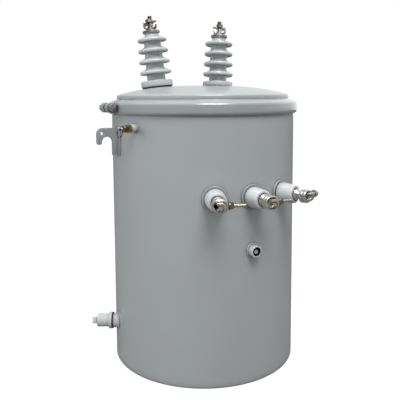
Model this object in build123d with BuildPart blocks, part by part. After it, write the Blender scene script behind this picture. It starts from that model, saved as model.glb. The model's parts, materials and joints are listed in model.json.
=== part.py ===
"""Single-phase pole mounted distribution transformer, in millimetres.

The origin is the centre of the tank's bottom edge, +Z is up. The low voltage bushings face -Y,
the pole stands on the +Y side, and azimuths are measured from -Y towards +X.
"""

import os
from math import asin, cos, degrees, radians, sin

from build123d import *

os.makedirs("parts", exist_ok=True)

# ---- tank -------------------------------------------------------------------------------------
tank_radius = 254.0
tank_wall = 3.0
bottom_plate = 4.0
bottom_recess = 12.0
lip_top = 700.0
lip_width = 6.7
seat_gap = 0.2

# ---- cover and its clamp band -----------------------------------------------------------------
gasket_thickness = 4.0
cover_sheet = 2.5
cover_rise = 51.9
crown_radius = 2000.0
crown_edge = 95.0
shoulder_radius = 650.0
knuckle_radius = 6.0
cover_inset = 14.0
band_sheet = 2.5
band_clearance = 0.3
band_below_lip = 18.0
band_above_lip = 21.5
band_slope = 9.5
band_corner = 9.0
band_gap = 10.0

# ---- band bolt, 1/2 in ------------------------------------------------------------------------
clamp_azimuth = -92.3
clamp_above_lip = 0.5
clamp_bolt_diameter = 12.7
clamp_bolt_across_flats = 19.0
clamp_head_height = 8.0
clamp_nut_height = 11.0
clamp_washer = 2.5
clamp_washer_diameter = 25.0
clamp_thread_past_nut = 5.0
barrel_wall = 6.8
barrel_length = 20.0
barrel_spacing = 26.0
barrel_web = 18.0
bolt_clearance = 0.4
thread_clearance = 0.1

# ---- lifting hooks ----------------------------------------------------------------------------
hook_azimuths = {"left": -90.0, "right": 90.0}
hook_plate = 8.0
hook_below_lip = 51.5
hook_height = 71.5
hook_leg = 16.5
hook_mouth = 28.6
hook_tip_width = 13.2
hook_tip_drop = 43.5
hook_tip_round = 6.0
hook_throat = 23.0
hook_corner = 15.0
hook_eye_diameter = 8.5
hook_eye_inset = 14.0
hook_foot_width = 13.0
hook_foot_thickness = 3.0

# ---- support lugs on the pole side ------------------------------------------------------------
lug_spacing = 285.75
lug_below_lip = 167.0
lug_width = 90.0
lug_standoff = 58.0
lug_plate = 6.0
lug_height = 90.0
lug_slot_width = 22.2
lug_slot_length = 38.0
lug_bend = 8.0

# ---- high voltage bushings --------------------------------------------------------------------
hv_azimuths = {"left": -130.8, "right": 130.8}
hv_terminal_turn = {"left": 0.0, "right": -75.0}
hv_circle = 132.0
hv_gasket_thickness = {"left": 2.4, "right": 2.2}
hv_gasket_inset = 2.5
hv_flange_radius = 45.3
hv_flange_height = {"left": 18.6, "right": 15.5}
hv_flange_round = 3.0
hv_hole_radius = 22.0
hv_hole_clearance = 0.5
hv_shank = 25.0
hv_shed_count = 4
hv_shed_pitch = 30.7
hv_first_shed = 23.3
hv_shed_radius = (45.2, 41.7)
hv_core_radius = (26.5, 24.0)
hv_rim_above = 3.5
hv_rim_below = 5.0
hv_rim_round = 4.5
hv_root_above = 11.6
hv_root_below = 4.5
hv_root_round = 3.0
hv_neck_radius = 20.0
hv_neck_height = 18.4

# ---- high voltage terminals -------------------------------------------------------------------
hv_cap_radius = 24.4
hv_cap_sheet = 4.0
hv_cap_rim = 8.0
hv_cap_rim_wall = 2.2
hv_bell_radius = (15.0, 12.5)
hv_bell_height = 12.0
hv_post_radius = 7.0
hv_stud_diameter = 12.7
hv_stud_above_nut = 8.0
hv_conductor_radius = 4.5
hv_groove_floor = 16.5
hv_jaw_wall = 4.0
hv_jaw_width = 12.0
hv_jaw_height = 33.0
hv_keeper_level = 26.0
hv_keeper_thickness = 8.0
hv_keeper_width = 10.0
hv_keeper_tail = 20.0
hv_nut_across_flats = 19.0
hv_nut_height = 7.5

# ---- low voltage bushings ---------------------------------------------------------------------
lv_azimuths = {"left": -22.3, "centre": 0.0, "right": 22.3}
lv_below_lip = 219.0
lv_pad_radius = 32.0
lv_pad_face = 2.5
lv_pad_round = 1.0
lv_hole_radius = 18.0
lv_hole_clearance = 0.5
lv_shank = 20.0
lv_gasket_inset = 1.0
lv_gasket_thickness = 2.0
lv_base_radius = 26.5
lv_base_length = 9.0
lv_front_radius = 22.7
lv_porcelain_length = 42.5
lv_edge_round = 3.0
lv_recess_radius = 15.7
lv_recess_depth = 4.0

# ---- low voltage terminals --------------------------------------------------------------------
lv_collar_clearance = 1.2
lv_collar_length = 7.5
lv_cone_length = 8.0
lv_neck_radius = 7.5
lv_neck_length = 3.0
lv_body_length = 30.0
lv_body_clearance = 0.3
lv_body_round = 3.0
lv_conductor_radius = 5.0
lv_lip_clearance = 0.6
eye_length = 40.0
eye_height = 33.0
eye_wall = 5.5
eye_thickness = 18.0
eye_round = 2.0
eye_offset = (1.0, -2.0)
eye_past_neck = 3.0
eyebolt_diameter = 9.5
eyebolt_reach = 62.0
eyebolt_washer = 3.0
eyebolt_washer_diameter = 20.0
eyebolt_nut_across_flats = 14.3
eyebolt_nut_height = 8.5
eyebolt_nut_backed_off = {"left": 1.0, "centre": 1.0, "right": 25.0}

# ---- pressure relief valve --------------------------------------------------------------------
relief_azimuth = -70.0
relief_below_lip = 50.0
relief_boss_radius = 10.0
relief_boss_length = 18.0
relief_hex_across_flats = 17.5
relief_hex_length = 13.0
relief_body_radius = 8.5
relief_body_length = 12.5
relief_stem_radius = 4.0
relief_stem_length = 4.0
relief_eye_radius = 5.0
relief_eye_hole = 2.5
relief_eye_plate = 4.0
ring_radius = 9.5
ring_wire = 1.1
ring_drop = 1.1

# ---- ground boss and drain --------------------------------------------------------------------
ground_azimuth = 0.0
ground_below_lv = 134.2
ground_boss_radius = 15.0
ground_boss_length = 20.5
ground_boss_chamfer = 1.0
ground_face_radius = 11.4
ground_face_depth = 1.5
ground_thread_radius = 5.4
ground_thread_depth = 14.0
drain_azimuth = -99.0
drain_skew = -19.8
drain_height = 108.8
drain_boss_radius = 19.5
drain_boss_length = 12.2
drain_gasket_inset = 0.5
drain_gasket_thickness = 3.0
drain_flange_radius = 22.5
drain_flange_length = 8.7
drain_flange_round = 2.0
drain_body_radius = 17.4
drain_body_length = 32.2
drain_body_round = 2.5
drain_square = 16.7
drain_square_round = 1.5
drain_square_turn = 28.0
drain_square_length = 14.0

# ---- worked out from the sizes above ----------------------------------------------------------
outside = tank_radius + seat_gap
lip_radius = tank_radius + lip_width
gasket_top = lip_top + gasket_thickness
cover_top = gasket_top + cover_sheet + cover_rise
rim_radius = tank_radius - cover_inset
crown_angle = degrees(asin(crown_edge / crown_radius))
shoulder_x = (crown_radius - shoulder_radius) * sin(radians(crown_angle))
shoulder_z = cover_top - crown_radius + (crown_radius - shoulder_radius) * cos(radians(crown_angle))
knuckle_angle = degrees(asin((rim_radius - knuckle_radius - shoulder_x) / (shoulder_radius - knuckle_radius)))
knuckle_z = shoulder_z + (shoulder_radius - knuckle_radius) * cos(radians(knuckle_angle))
band_inside = lip_radius + band_clearance
band_outside = band_inside + band_sheet
band_low = lip_top - band_below_lip
band_high = lip_top + band_above_lip
barrel_radius = clamp_bolt_diameter / 2 + barrel_wall
barrel_circle = band_outside + barrel_radius
barrel_start = barrel_spacing / 2
clamp_height = lip_top + clamp_above_lip
hook_top = lip_top - hook_below_lip
hook_reach = hook_leg + hook_mouth + hook_tip_width
upper_lug_height = lip_top - lug_below_lip
relief_height = lip_top - relief_below_lip
lv_height = lip_top - lv_below_lip
ground_height = lv_height - ground_below_lv


def finish(piece, label):
    """Names a piece and writes it as its own file."""
    piece.part.label = label
    export_step(piece.part, f"parts/{label}.step")


def nearest(sketch, point):
    """The corner of a sketch nearest to a point of its own plane."""
    return sketch.vertices().sort_by_distance(Vector(*point, 0))[0]


def out_from_wall(azimuth, height, distance=0.0):
    """A plane on the tank's side: x runs to the right, y up and z straight out of the wall."""
    a = radians(azimuth)
    out = Vector(sin(a), -cos(a), 0)
    return Plane(
        origin=out * (tank_radius + distance) + Vector(0, 0, height),
        x_dir=(cos(a), sin(a), 0),
        z_dir=out,
    )


def side_plane(azimuth, height):
    """A plane that holds the tank's axis: x runs out from the wall and y runs up."""
    a = radians(azimuth)
    out = Vector(sin(a), -cos(a), 0)
    return Plane(origin=out * tank_radius + Vector(0, 0, height), x_dir=out, z_dir=out.cross(Vector(0, 0, 1)))


def cover_section(depth, floor):
    """The outline of the cover's half, a given depth under its outer skin, down to the floor."""
    with BuildLine() as outline:
        crown = CenterArc((0, cover_top - crown_radius), crown_radius - depth, 90, -crown_angle)
        shoulder = CenterArc(
            (shoulder_x, shoulder_z), shoulder_radius - depth, 90 - crown_angle, crown_angle - knuckle_angle
        )
        knuckle = CenterArc(
            (rim_radius - knuckle_radius, knuckle_z),
            knuckle_radius - depth,
            90 - knuckle_angle,
            knuckle_angle - 90,
        )
        Polyline(knuckle @ 1, (rim_radius - depth, floor), (0, floor), crown @ 0)
    return outline


def bushing_seat(azimuth, turn):
    """The plane that touches the cover where a high voltage bushing stands, turned about its own axis."""
    a = radians(azimuth)
    lean = asin((hv_circle - shoulder_x) / shoulder_radius)
    out = Vector(sin(a), -cos(a), 0)
    up = out * sin(lean) + Vector(0, 0, cos(lean))
    height = shoulder_z + shoulder_radius * cos(lean)
    side = (out * cos(lean) - Vector(0, 0, sin(lean))).rotate(Axis((0, 0, 0), up), turn)
    return Plane(origin=out * hv_circle + Vector(0, 0, height), x_dir=side, z_dir=up)


# ---- tank wall --------------------------------------------------------------------------------
with BuildPart() as wall:
    with BuildSketch(Plane.XZ) as wall_section:
        with Locations((tank_radius - tank_wall, 0)):
            Rectangle(tank_wall, lip_top, align=(Align.MIN, Align.MIN))
        with Locations((tank_radius - tank_wall, lip_top)):
            Rectangle(tank_wall + lip_width, tank_wall, align=(Align.MIN, Align.MAX))
    revolve(axis=Axis.Z)
    for azimuth in lv_azimuths.values():
        with BuildSketch(out_from_wall(azimuth, lv_height, lv_pad_face)):
            Circle(lv_pad_radius)
        extrude(amount=-lv_pad_face - tank_wall)
        in_front = out_from_wall(azimuth, lv_height, 2 * lv_pad_radius).origin
        rims = wall.edges().filter_by(GeomType.CIRCLE).filter_by(lambda edge: edge.radius == lv_pad_radius)
        fillet(rims.sort_by_distance(in_front)[0], lv_pad_round)
        with BuildSketch(out_from_wall(azimuth, lv_height, lv_pad_face)):
            Circle(lv_hole_radius)
        extrude(amount=-lv_pad_face - 2 * tank_wall, mode=Mode.SUBTRACT)
finish(wall, "tank_wall")

with BuildPart() as bottom:
    with BuildSketch(Plane.XY.offset(bottom_recess)):
        Circle(tank_radius - tank_wall - seat_gap)
    extrude(amount=bottom_plate)
finish(bottom, "tank_bottom")

# ---- cover ------------------------------------------------------------------------------------
with BuildPart() as cover:
    with BuildSketch(Plane.XZ):
        add(make_face(cover_section(0, gasket_top).line, mode=Mode.PRIVATE))
        add(make_face(cover_section(cover_sheet, gasket_top).line, mode=Mode.PRIVATE), mode=Mode.SUBTRACT)
        with Locations((rim_radius - cover_sheet, gasket_top)):
            Rectangle(lip_radius - rim_radius + cover_sheet, cover_sheet, align=(Align.MIN, Align.MIN))
    revolve(axis=Axis.Z)
    for azimuth in hv_azimuths.values():
        with BuildSketch(bushing_seat(azimuth, 0)):
            Circle(hv_hole_radius)
        extrude(amount=4 * cover_sheet, both=True, mode=Mode.SUBTRACT)
finish(cover, "cover")

with BuildPart() as cover_gasket:
    with BuildSketch(Plane.XY.offset(lip_top)):
        Circle(lip_radius)
        Circle(tank_radius - tank_wall, mode=Mode.SUBTRACT)
    extrude(amount=gasket_thickness)
finish(cover_gasket, "cover_gasket")

# ---- clamp band, a split ring of C section with a barrel lug at each end ----------------------
clamp_plane = out_from_wall(clamp_azimuth, clamp_height, barrel_circle - tank_radius)


def along_bolt(start):
    """A plane across the band's bolt: x runs in to the band, y up and z along the bolt."""
    return Plane(
        origin=clamp_plane.from_local_coords((start, 0, 0)),
        x_dir=-clamp_plane.z_dir,
        z_dir=clamp_plane.x_dir,
    )


with BuildPart() as band:
    for start in (barrel_start, -barrel_start - barrel_length):
        with BuildSketch(along_bolt(start)):
            Circle(barrel_radius)
            Rectangle(2 * barrel_radius, barrel_web, align=(Align.MIN, Align.CENTER))
        extrude(amount=barrel_length)
        with BuildSketch(along_bolt(start)):
            Circle(clamp_bolt_diameter / 2 + bolt_clearance)
        extrude(amount=barrel_length, mode=Mode.SUBTRACT)
    Cylinder(band_inside + band_sheet / 2, 3 * lip_top, mode=Mode.SUBTRACT)
    with BuildSketch(Plane.XZ):
        with BuildLine():
            FilletPolyline(
                (rim_radius + band_sheet / 2, band_high),
                (band_outside, band_high - band_slope),
                (band_outside, band_low),
                (tank_radius + band_clearance, band_low),
                radius=band_corner,
            )
            offset(amount=band_sheet, side=Side.RIGHT)
        make_face()
    revolve(axis=Axis.Z)
    with BuildSketch(clamp_plane):
        Rectangle(band_gap, 8 * barrel_radius)
    extrude(amount=4 * barrel_radius, both=True, mode=Mode.SUBTRACT)
finish(band, "clamp_band")

bolt_face = barrel_start + barrel_length
with BuildPart() as clamp_bolt:
    with BuildSketch(along_bolt(bolt_face)):
        RegularPolygon(clamp_bolt_across_flats / 2, 6, major_radius=False)
    extrude(amount=clamp_head_height)
    with BuildSketch(along_bolt(bolt_face)):
        Circle(clamp_bolt_diameter / 2)
    extrude(amount=-(2 * bolt_face + clamp_washer + clamp_nut_height + clamp_thread_past_nut))
finish(clamp_bolt, "clamp_bolt")

with BuildPart() as clamp_nut:
    with BuildSketch(along_bolt(-bolt_face)):
        Circle(clamp_washer_diameter / 2)
    extrude(amount=-clamp_washer)
    with BuildSketch(along_bolt(-bolt_face - clamp_washer)):
        RegularPolygon(clamp_bolt_across_flats / 2, 6, major_radius=False)
    extrude(amount=-clamp_nut_height)
    with BuildSketch(along_bolt(-bolt_face)):
        Circle(clamp_bolt_diameter / 2 + thread_clearance)
    extrude(amount=-clamp_washer - clamp_nut_height, mode=Mode.SUBTRACT)
finish(clamp_nut, "clamp_nut")

# ---- lifting hooks ----------------------------------------------------------------------------
arch_radius = hook_mouth / 2
for side, azimuth in hook_azimuths.items():
    with BuildPart() as hook:
        with BuildSketch(side_plane(azimuth, hook_top)) as hook_outline:
            with Locations((-hook_foot_thickness, 0)):
                Rectangle(hook_reach + hook_foot_thickness, hook_height, align=(Align.MIN, Align.MAX))
            with Locations((hook_leg, -hook_tip_drop)):
                Rectangle(hook_reach, hook_height, align=(Align.MIN, Align.MAX), mode=Mode.SUBTRACT)
            with Locations((hook_leg + arch_radius, -hook_throat - arch_radius)):
                Circle(arch_radius, mode=Mode.SUBTRACT)
                Rectangle(hook_mouth, hook_height, align=(Align.CENTER, Align.MAX), mode=Mode.SUBTRACT)
            fillet(nearest(hook_outline, (hook_reach, 0)), hook_corner)
            for tip_side in (hook_leg + hook_mouth, hook_reach):
                fillet(nearest(hook_outline, (tip_side, -hook_tip_drop)), hook_tip_round)
            with Locations((hook_reach - hook_eye_inset, -hook_eye_inset)):
                Circle(hook_eye_diameter / 2, mode=Mode.SUBTRACT)
        extrude(amount=hook_plate / 2, both=True)
        with BuildSketch(out_from_wall(azimuth, hook_top, -hook_foot_thickness)):
            Rectangle(2 * hook_foot_width + hook_plate, hook_height, align=(Align.CENTER, Align.MAX))
        extrude(amount=2 * hook_foot_thickness)
        Cylinder(outside, 3 * lip_top, mode=Mode.SUBTRACT)
    finish(hook, f"lifting_hook_{side}")

# ---- support lugs, bent from plate, with a slot for the pole bolt -----------------------------
lug_face = tank_radius + lug_standoff
for name, lug_centre in {"upper": upper_lug_height, "lower": upper_lug_height - lug_spacing}.items():
    with BuildPart() as lug:
        with BuildSketch(Plane.XY.offset(lug_centre - lug_height / 2)):
            with Locations((0, lug_face)):
                Rectangle(lug_width, lug_face, align=(Align.CENTER, Align.MAX))
        extrude(amount=lug_height)
        bends = lug.edges().filter_by(Axis.Z).group_by(Axis.Y)[-1]
        fillet(bends, lug_bend)
        with BuildSketch(Plane.XY.offset(lug_centre - lug_height / 2)) as lug_inside:
            with Locations((0, lug_face - lug_plate)):
                Rectangle(lug_width - 2 * lug_plate, lug_face, align=(Align.CENTER, Align.MAX))
            fillet(lug_inside.vertices().group_by(Axis.Y)[-1], lug_bend - lug_plate)
        extrude(amount=lug_height, mode=Mode.SUBTRACT)
        Cylinder(outside, 3 * lip_top, mode=Mode.SUBTRACT)
        with BuildSketch(Plane(origin=(0, lug_face, lug_centre), x_dir=(0, 0, 1), z_dir=(0, 1, 0))):
            SlotOverall(lug_slot_length, lug_slot_width)
        extrude(amount=-2 * lug_plate, mode=Mode.SUBTRACT)
    finish(lug, f"{name}_support_lug")


def lengthwise(plane):
    """The plane that holds another plane's x and z, with z as its y, for turning a profile."""
    return Plane(origin=plane.origin, x_dir=plane.x_dir, z_dir=plane.x_dir.cross(plane.z_dir))


# ---- high voltage bushings --------------------------------------------------------------------
def shed_outline(flange_top):
    """The corners of the sheds and the core from the flange up, with those at the rims and the roots."""
    corners, rims, roots = [], [], []
    for shed in range(hv_shed_count):
        share = shed / (hv_shed_count - 1)
        core = hv_core_radius[0] + share * (hv_core_radius[1] - hv_core_radius[0])
        rim = hv_shed_radius[0] + share * (hv_shed_radius[1] - hv_shed_radius[0])
        level = flange_top + hv_first_shed + shed * hv_shed_pitch
        if shed == hv_shed_count - 1:
            core_above = hv_neck_radius
        else:
            core_above = core
        roots.extend([(core, level - hv_root_below), (core_above, level + hv_root_above)])
        rims.extend([(rim, level - hv_rim_below), (rim, level + hv_rim_above)])
        corners.extend([roots[-2], rims[-2], rims[-1], roots[-1]])
    return corners, rims, roots


for side, azimuth in hv_azimuths.items():
    seat = bushing_seat(azimuth, hv_terminal_turn[side])
    profile = lengthwise(seat)
    axis = Axis(seat.origin, seat.z_dir)
    gasket = hv_gasket_thickness[side]
    flange_height = hv_flange_height[side]
    flange_top = gasket + flange_height
    cap_seat = flange_top + hv_first_shed + (hv_shed_count - 1) * hv_shed_pitch + hv_neck_height

    with BuildPart() as hv_gasket:
        with BuildSketch(seat.offset(gasket)):
            Circle(hv_flange_radius - hv_gasket_inset)
            Circle(hv_hole_radius, mode=Mode.SUBTRACT)
        extrude(amount=-gasket - 0.8 * cover_sheet)
        add(cover.part, mode=Mode.SUBTRACT)
    finish(hv_gasket, f"hv_gasket_{side}")

    with BuildPart() as hv_flange:
        with BuildSketch(seat.offset(gasket)):
            Circle(hv_flange_radius)
        extrude(amount=flange_height)
        fillet(hv_flange.faces().sort_by(axis)[-1].edges(), hv_flange_round)
        with BuildSketch(seat.offset(gasket)):
            Circle(hv_core_radius[0] + seat_gap)
        extrude(amount=flange_height, mode=Mode.SUBTRACT)
    finish(hv_flange, f"hv_flange_{side}")

    with BuildPart() as hv_porcelain:
        with BuildSketch(profile) as hv_section:
            shank = hv_hole_radius - hv_hole_clearance
            corners, rims, roots = shed_outline(flange_top)
            with BuildLine():
                Polyline(
                    (0, -hv_shank),
                    (shank, -hv_shank),
                    (shank, gasket),
                    (hv_core_radius[0], gasket),
                    *corners,
                    (hv_neck_radius, cap_seat),
                    (0, cap_seat),
                    close=True,
                )
            make_face()
            fillet([nearest(hv_section, rim) for rim in rims], hv_rim_round)
            fillet([nearest(hv_section, root) for root in roots], hv_root_round)
        revolve(axis=axis)
    finish(hv_porcelain, f"hv_porcelain_{side}")

    cap_top = cap_seat + hv_cap_sheet
    with BuildPart() as hv_cap:
        with BuildSketch(profile):
            with BuildLine():
                Polyline(
                    (0, cap_seat),
                    (hv_cap_radius - hv_cap_rim_wall, cap_seat),
                    (hv_cap_radius, cap_seat + hv_cap_sheet / 2),
                    (hv_cap_radius, cap_seat + hv_cap_rim),
                    (hv_cap_radius - hv_cap_rim_wall, cap_seat + hv_cap_rim),
                    (hv_cap_radius - 1.5 * hv_cap_rim_wall, cap_top),
                    (0, cap_top),
                    close=True,
                )
            make_face()
        revolve(axis=axis)
    finish(hv_cap, f"hv_cap_{side}")

    groove = (hv_post_radius + hv_conductor_radius, cap_seat + hv_groove_floor + hv_conductor_radius)
    jaw_radius = hv_conductor_radius + hv_jaw_wall
    jaw_inside = groove[0] + hv_conductor_radius
    keeper_base = cap_seat + hv_keeper_level
    nut_base = keeper_base + hv_keeper_thickness
    stud_top = nut_base + hv_nut_height + hv_stud_above_nut
    with BuildPart() as hv_terminal:
        with BuildSketch(profile):
            with BuildLine():
                Polyline(
                    (0, cap_top),
                    (hv_bell_radius[0], cap_top),
                    (hv_bell_radius[1], cap_top + hv_bell_height),
                    (hv_post_radius, cap_top + hv_bell_height),
                    (hv_post_radius, keeper_base),
                    (hv_stud_diameter / 2, keeper_base),
                    (hv_stud_diameter / 2, stud_top),
                    (0, stud_top),
                    close=True,
                )
            make_face()
        revolve(axis=axis)
        with BuildSketch(profile):
            with Locations(groove):
                Circle(jaw_radius)
                Rectangle(2 * jaw_radius, jaw_radius, align=(Align.CENTER, Align.MIN), mode=Mode.SUBTRACT)
            with Locations((jaw_inside, groove[1])):
                Rectangle(hv_jaw_wall, cap_seat + hv_jaw_height - groove[1], align=(Align.MIN, Align.MIN))
        extrude(amount=hv_jaw_width / 2, both=True)
        with BuildSketch(profile):
            with Locations(groove):
                Circle(hv_conductor_radius)
                Rectangle(2 * hv_conductor_radius, keeper_base - groove[1], align=(Align.CENTER, Align.MIN))
        extrude(amount=2 * hv_jaw_width, both=True, mode=Mode.SUBTRACT)
    finish(hv_terminal, f"hv_terminal_{side}")

    with BuildPart() as hv_keeper:
        with BuildSketch(seat.offset(keeper_base)):
            with Locations((jaw_inside - seat_gap, 0)):
                Rectangle(jaw_inside + hv_keeper_tail, hv_keeper_width, align=(Align.MAX, Align.CENTER))
            Circle(hv_nut_across_flats / 2)
        extrude(amount=hv_keeper_thickness)
        with BuildSketch(seat.offset(nut_base)):
            RegularPolygon(hv_nut_across_flats / 2, 6, major_radius=False)
        extrude(amount=hv_nut_height)
        with BuildSketch(seat.offset(keeper_base)):
            Circle(hv_stud_diameter / 2 + thread_clearance)
        extrude(amount=hv_keeper_thickness + hv_nut_height, mode=Mode.SUBTRACT)
    finish(hv_keeper, f"hv_keeper_{side}")

# ---- low voltage bushings ---------------------------------------------------------------------
lv_base = lv_pad_face + lv_gasket_thickness
lv_front = lv_base + lv_porcelain_length
collar_start = lv_front - lv_recess_depth
collar_radius = lv_recess_radius - lv_collar_clearance
cone_start = collar_start + lv_collar_length
neck_start = cone_start + lv_cone_length
body_start = neck_start + lv_neck_length
eye_level = body_start + eye_past_neck + eye_thickness / 2
hole_length = eye_length - 2 * eye_wall
hole_height = eye_height - 2 * eye_wall
conductor_x = eye_offset[0] - hole_length / 2 + lv_conductor_radius

for side, azimuth in lv_azimuths.items():
    seat = out_from_wall(azimuth, lv_height)
    axis = Axis(seat.origin, seat.z_dir)

    with BuildPart() as lv_gasket:
        with BuildSketch(seat.offset(lv_pad_face)):
            Circle(lv_base_radius - lv_gasket_inset)
            Circle(lv_hole_radius, mode=Mode.SUBTRACT)
        extrude(amount=lv_gasket_thickness)
    finish(lv_gasket, f"lv_gasket_{side}")

    with BuildPart() as lv_porcelain:
        with BuildSketch(lengthwise(seat)) as lv_section:
            with BuildLine():
                Polyline(
                    (0, -lv_shank),
                    (lv_hole_radius - lv_hole_clearance, -lv_shank),
                    (lv_hole_radius - lv_hole_clearance, lv_base),
                    (lv_base_radius, lv_base),
                    (lv_base_radius, lv_base + lv_base_length),
                    (lv_front_radius, lv_front),
                    (lv_recess_radius, lv_front),
                    (lv_recess_radius, collar_start),
                    (0, collar_start),
                    close=True,
                )
            make_face()
            edges_to_round = [(lv_base_radius, lv_base + lv_base_length), (lv_front_radius, lv_front)]
            fillet([nearest(lv_section, point) for point in edges_to_round], lv_edge_round)
        revolve(axis=axis)
    finish(lv_porcelain, f"lv_porcelain_{side}")

    with BuildPart() as lv_terminal:
        with BuildSketch(lengthwise(seat)):
            with BuildLine():
                Polyline(
                    (0, collar_start),
                    (collar_radius, collar_start),
                    (collar_radius, cone_start),
                    (lv_neck_radius, neck_start),
                    (lv_neck_radius, body_start),
                    (0, body_start),
                    close=True,
                )
            make_face()
        revolve(axis=axis)
        with BuildSketch(seat.offset(body_start)):
            with Locations(eye_offset):
                SlotOverall(hole_length - 2 * lv_body_clearance, hole_height - 2 * lv_body_clearance)
        extrude(amount=lv_body_length)
        fillet(lv_terminal.faces().sort_by(axis)[-1].edges(), lv_body_round)
        with BuildSketch(seat.offset(body_start)):
            with Locations((conductor_x + lv_lip_clearance, eye_offset[1])):
                Rectangle(eye_length, eye_height, align=(Align.MAX, Align.CENTER))
            with Locations((conductor_x, eye_offset[1])):
                Circle(lv_conductor_radius)
        extrude(amount=2 * lv_body_length, mode=Mode.SUBTRACT)
    finish(lv_terminal, f"lv_terminal_{side}")

    eye_centre = seat.from_local_coords((*eye_offset, eye_level))
    shank = Plane(origin=eye_centre, x_dir=seat.y_dir, z_dir=seat.x_dir)
    shank_start = eye_length / 2 - eye_wall / 2
    with BuildPart() as eyebolt:
        with BuildSketch(seat.offset(eye_level - eye_thickness / 2)):
            with Locations(eye_offset):
                SlotOverall(eye_length, eye_height)
        extrude(amount=eye_thickness)
        eye_faces = eyebolt.faces().sort_by(axis)
        fillet(eye_faces[0].edges() + eye_faces[-1].edges(), eye_round)
        with BuildSketch(seat.offset(eye_level)):
            with Locations(eye_offset):
                SlotOverall(hole_length, hole_height)
        extrude(amount=eye_thickness, both=True, mode=Mode.SUBTRACT)
        with BuildSketch(shank.offset(shank_start)):
            Circle(eyebolt_diameter / 2)
        extrude(amount=eyebolt_reach - eye_offset[0] - shank_start)
    finish(eyebolt, f"lv_eyebolt_{side}")

    washer_start = eye_length / 2 + eyebolt_nut_backed_off[side]
    with BuildPart() as eyebolt_nut:
        with BuildSketch(shank.offset(washer_start)):
            Circle(eyebolt_washer_diameter / 2)
        extrude(amount=eyebolt_washer)
        with BuildSketch(shank.offset(washer_start + eyebolt_washer)):
            RegularPolygon(eyebolt_nut_across_flats / 2, 6, major_radius=False)
        extrude(amount=eyebolt_nut_height)
        with BuildSketch(shank):
            Circle(eyebolt_diameter / 2 + thread_clearance)
        extrude(amount=2 * eyebolt_reach, mode=Mode.SUBTRACT)
    finish(eyebolt_nut, f"lv_eyebolt_nut_{side}")

# ---- pressure relief valve --------------------------------------------------------------------
relief = out_from_wall(relief_azimuth, relief_height)
with BuildPart() as relief_boss:
    with BuildSketch(relief.offset(-tank_wall)):
        Circle(relief_boss_radius)
    extrude(amount=tank_wall + relief_boss_length)
    Cylinder(outside, 3 * lip_top, mode=Mode.SUBTRACT)
finish(relief_boss, "relief_boss")

hex_end = relief_boss_length + relief_hex_length
body_end = hex_end + relief_body_length
stem_end = body_end + relief_stem_length
ring_level = stem_end + relief_eye_radius
ring_centre = relief.from_local_coords((0, -ring_drop - ring_radius, ring_level))
eye_plane = Plane(origin=relief.from_local_coords((0, 0, ring_level)), x_dir=relief.z_dir, z_dir=relief.x_dir)
with BuildPart() as relief_valve:
    with BuildSketch(relief.offset(relief_boss_length)):
        RegularPolygon(relief_hex_across_flats / 2, 6, major_radius=False)
    extrude(amount=relief_hex_length)
    with BuildSketch(relief.offset(hex_end)):
        Circle(relief_body_radius)
    extrude(amount=relief_body_length)
    with BuildSketch(relief.offset(body_end)):
        Circle(relief_stem_radius)
    extrude(amount=relief_stem_length)
    with BuildSketch(eye_plane):
        Circle(relief_eye_radius)
        Rectangle(ring_level - stem_end + ring_wire, 2 * relief_stem_radius, align=(Align.MAX, Align.CENTER))
        Circle(relief_eye_hole, mode=Mode.SUBTRACT)
    extrude(amount=relief_eye_plate / 2, both=True)
finish(relief_valve, "relief_valve")

with BuildPart() as pull_ring:
    with BuildSketch(Plane(origin=ring_centre, x_dir=relief.x_dir, z_dir=relief.y_dir)):
        with Locations((ring_radius, 0)):
            Circle(ring_wire)
    revolve(axis=Axis(ring_centre, relief.z_dir))
finish(pull_ring, "relief_pull_ring")

# ---- ground boss ------------------------------------------------------------------------------
ground = out_from_wall(ground_azimuth, ground_height)
with BuildPart() as ground_boss:
    with BuildSketch(ground.offset(-tank_wall)):
        Circle(ground_boss_radius)
    extrude(amount=tank_wall + ground_boss_length)
    Cylinder(outside, 3 * lip_top, mode=Mode.SUBTRACT)
    chamfer(ground_boss.faces().sort_by(Axis(ground.origin, ground.z_dir))[-1].edges(), ground_boss_chamfer)
    with BuildSketch(ground.offset(ground_boss_length)):
        Circle(ground_face_radius)
    extrude(amount=-ground_face_depth, mode=Mode.SUBTRACT)
    with BuildSketch(ground.offset(ground_boss_length - ground_face_depth)):
        Circle(ground_thread_radius)
    extrude(amount=-ground_thread_depth, mode=Mode.SUBTRACT)
finish(ground_boss, "ground_boss")

# ---- drain fitting, a coupling welded in at a slant that carries a valve with a square end ---
drain_root = out_from_wall(drain_azimuth, drain_height).origin
drain_way = out_from_wall(drain_azimuth + drain_skew, drain_height)
drain = Plane(origin=drain_root, x_dir=drain_way.x_dir, z_dir=drain_way.z_dir)
drain_axis = Axis(drain.origin, drain.z_dir)
with BuildPart() as drain_boss:
    with BuildSketch(drain.offset(-drain_boss_radius)):
        Circle(drain_boss_radius)
    extrude(amount=drain_boss_radius + drain_boss_length)
    Cylinder(outside, 3 * lip_top, mode=Mode.SUBTRACT)
finish(drain_boss, "drain_boss")

with BuildPart() as drain_gasket:
    with BuildSketch(drain.offset(drain_boss_length)):
        Circle(drain_flange_radius - drain_gasket_inset)
    extrude(amount=drain_gasket_thickness)
finish(drain_gasket, "drain_gasket")

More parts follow.
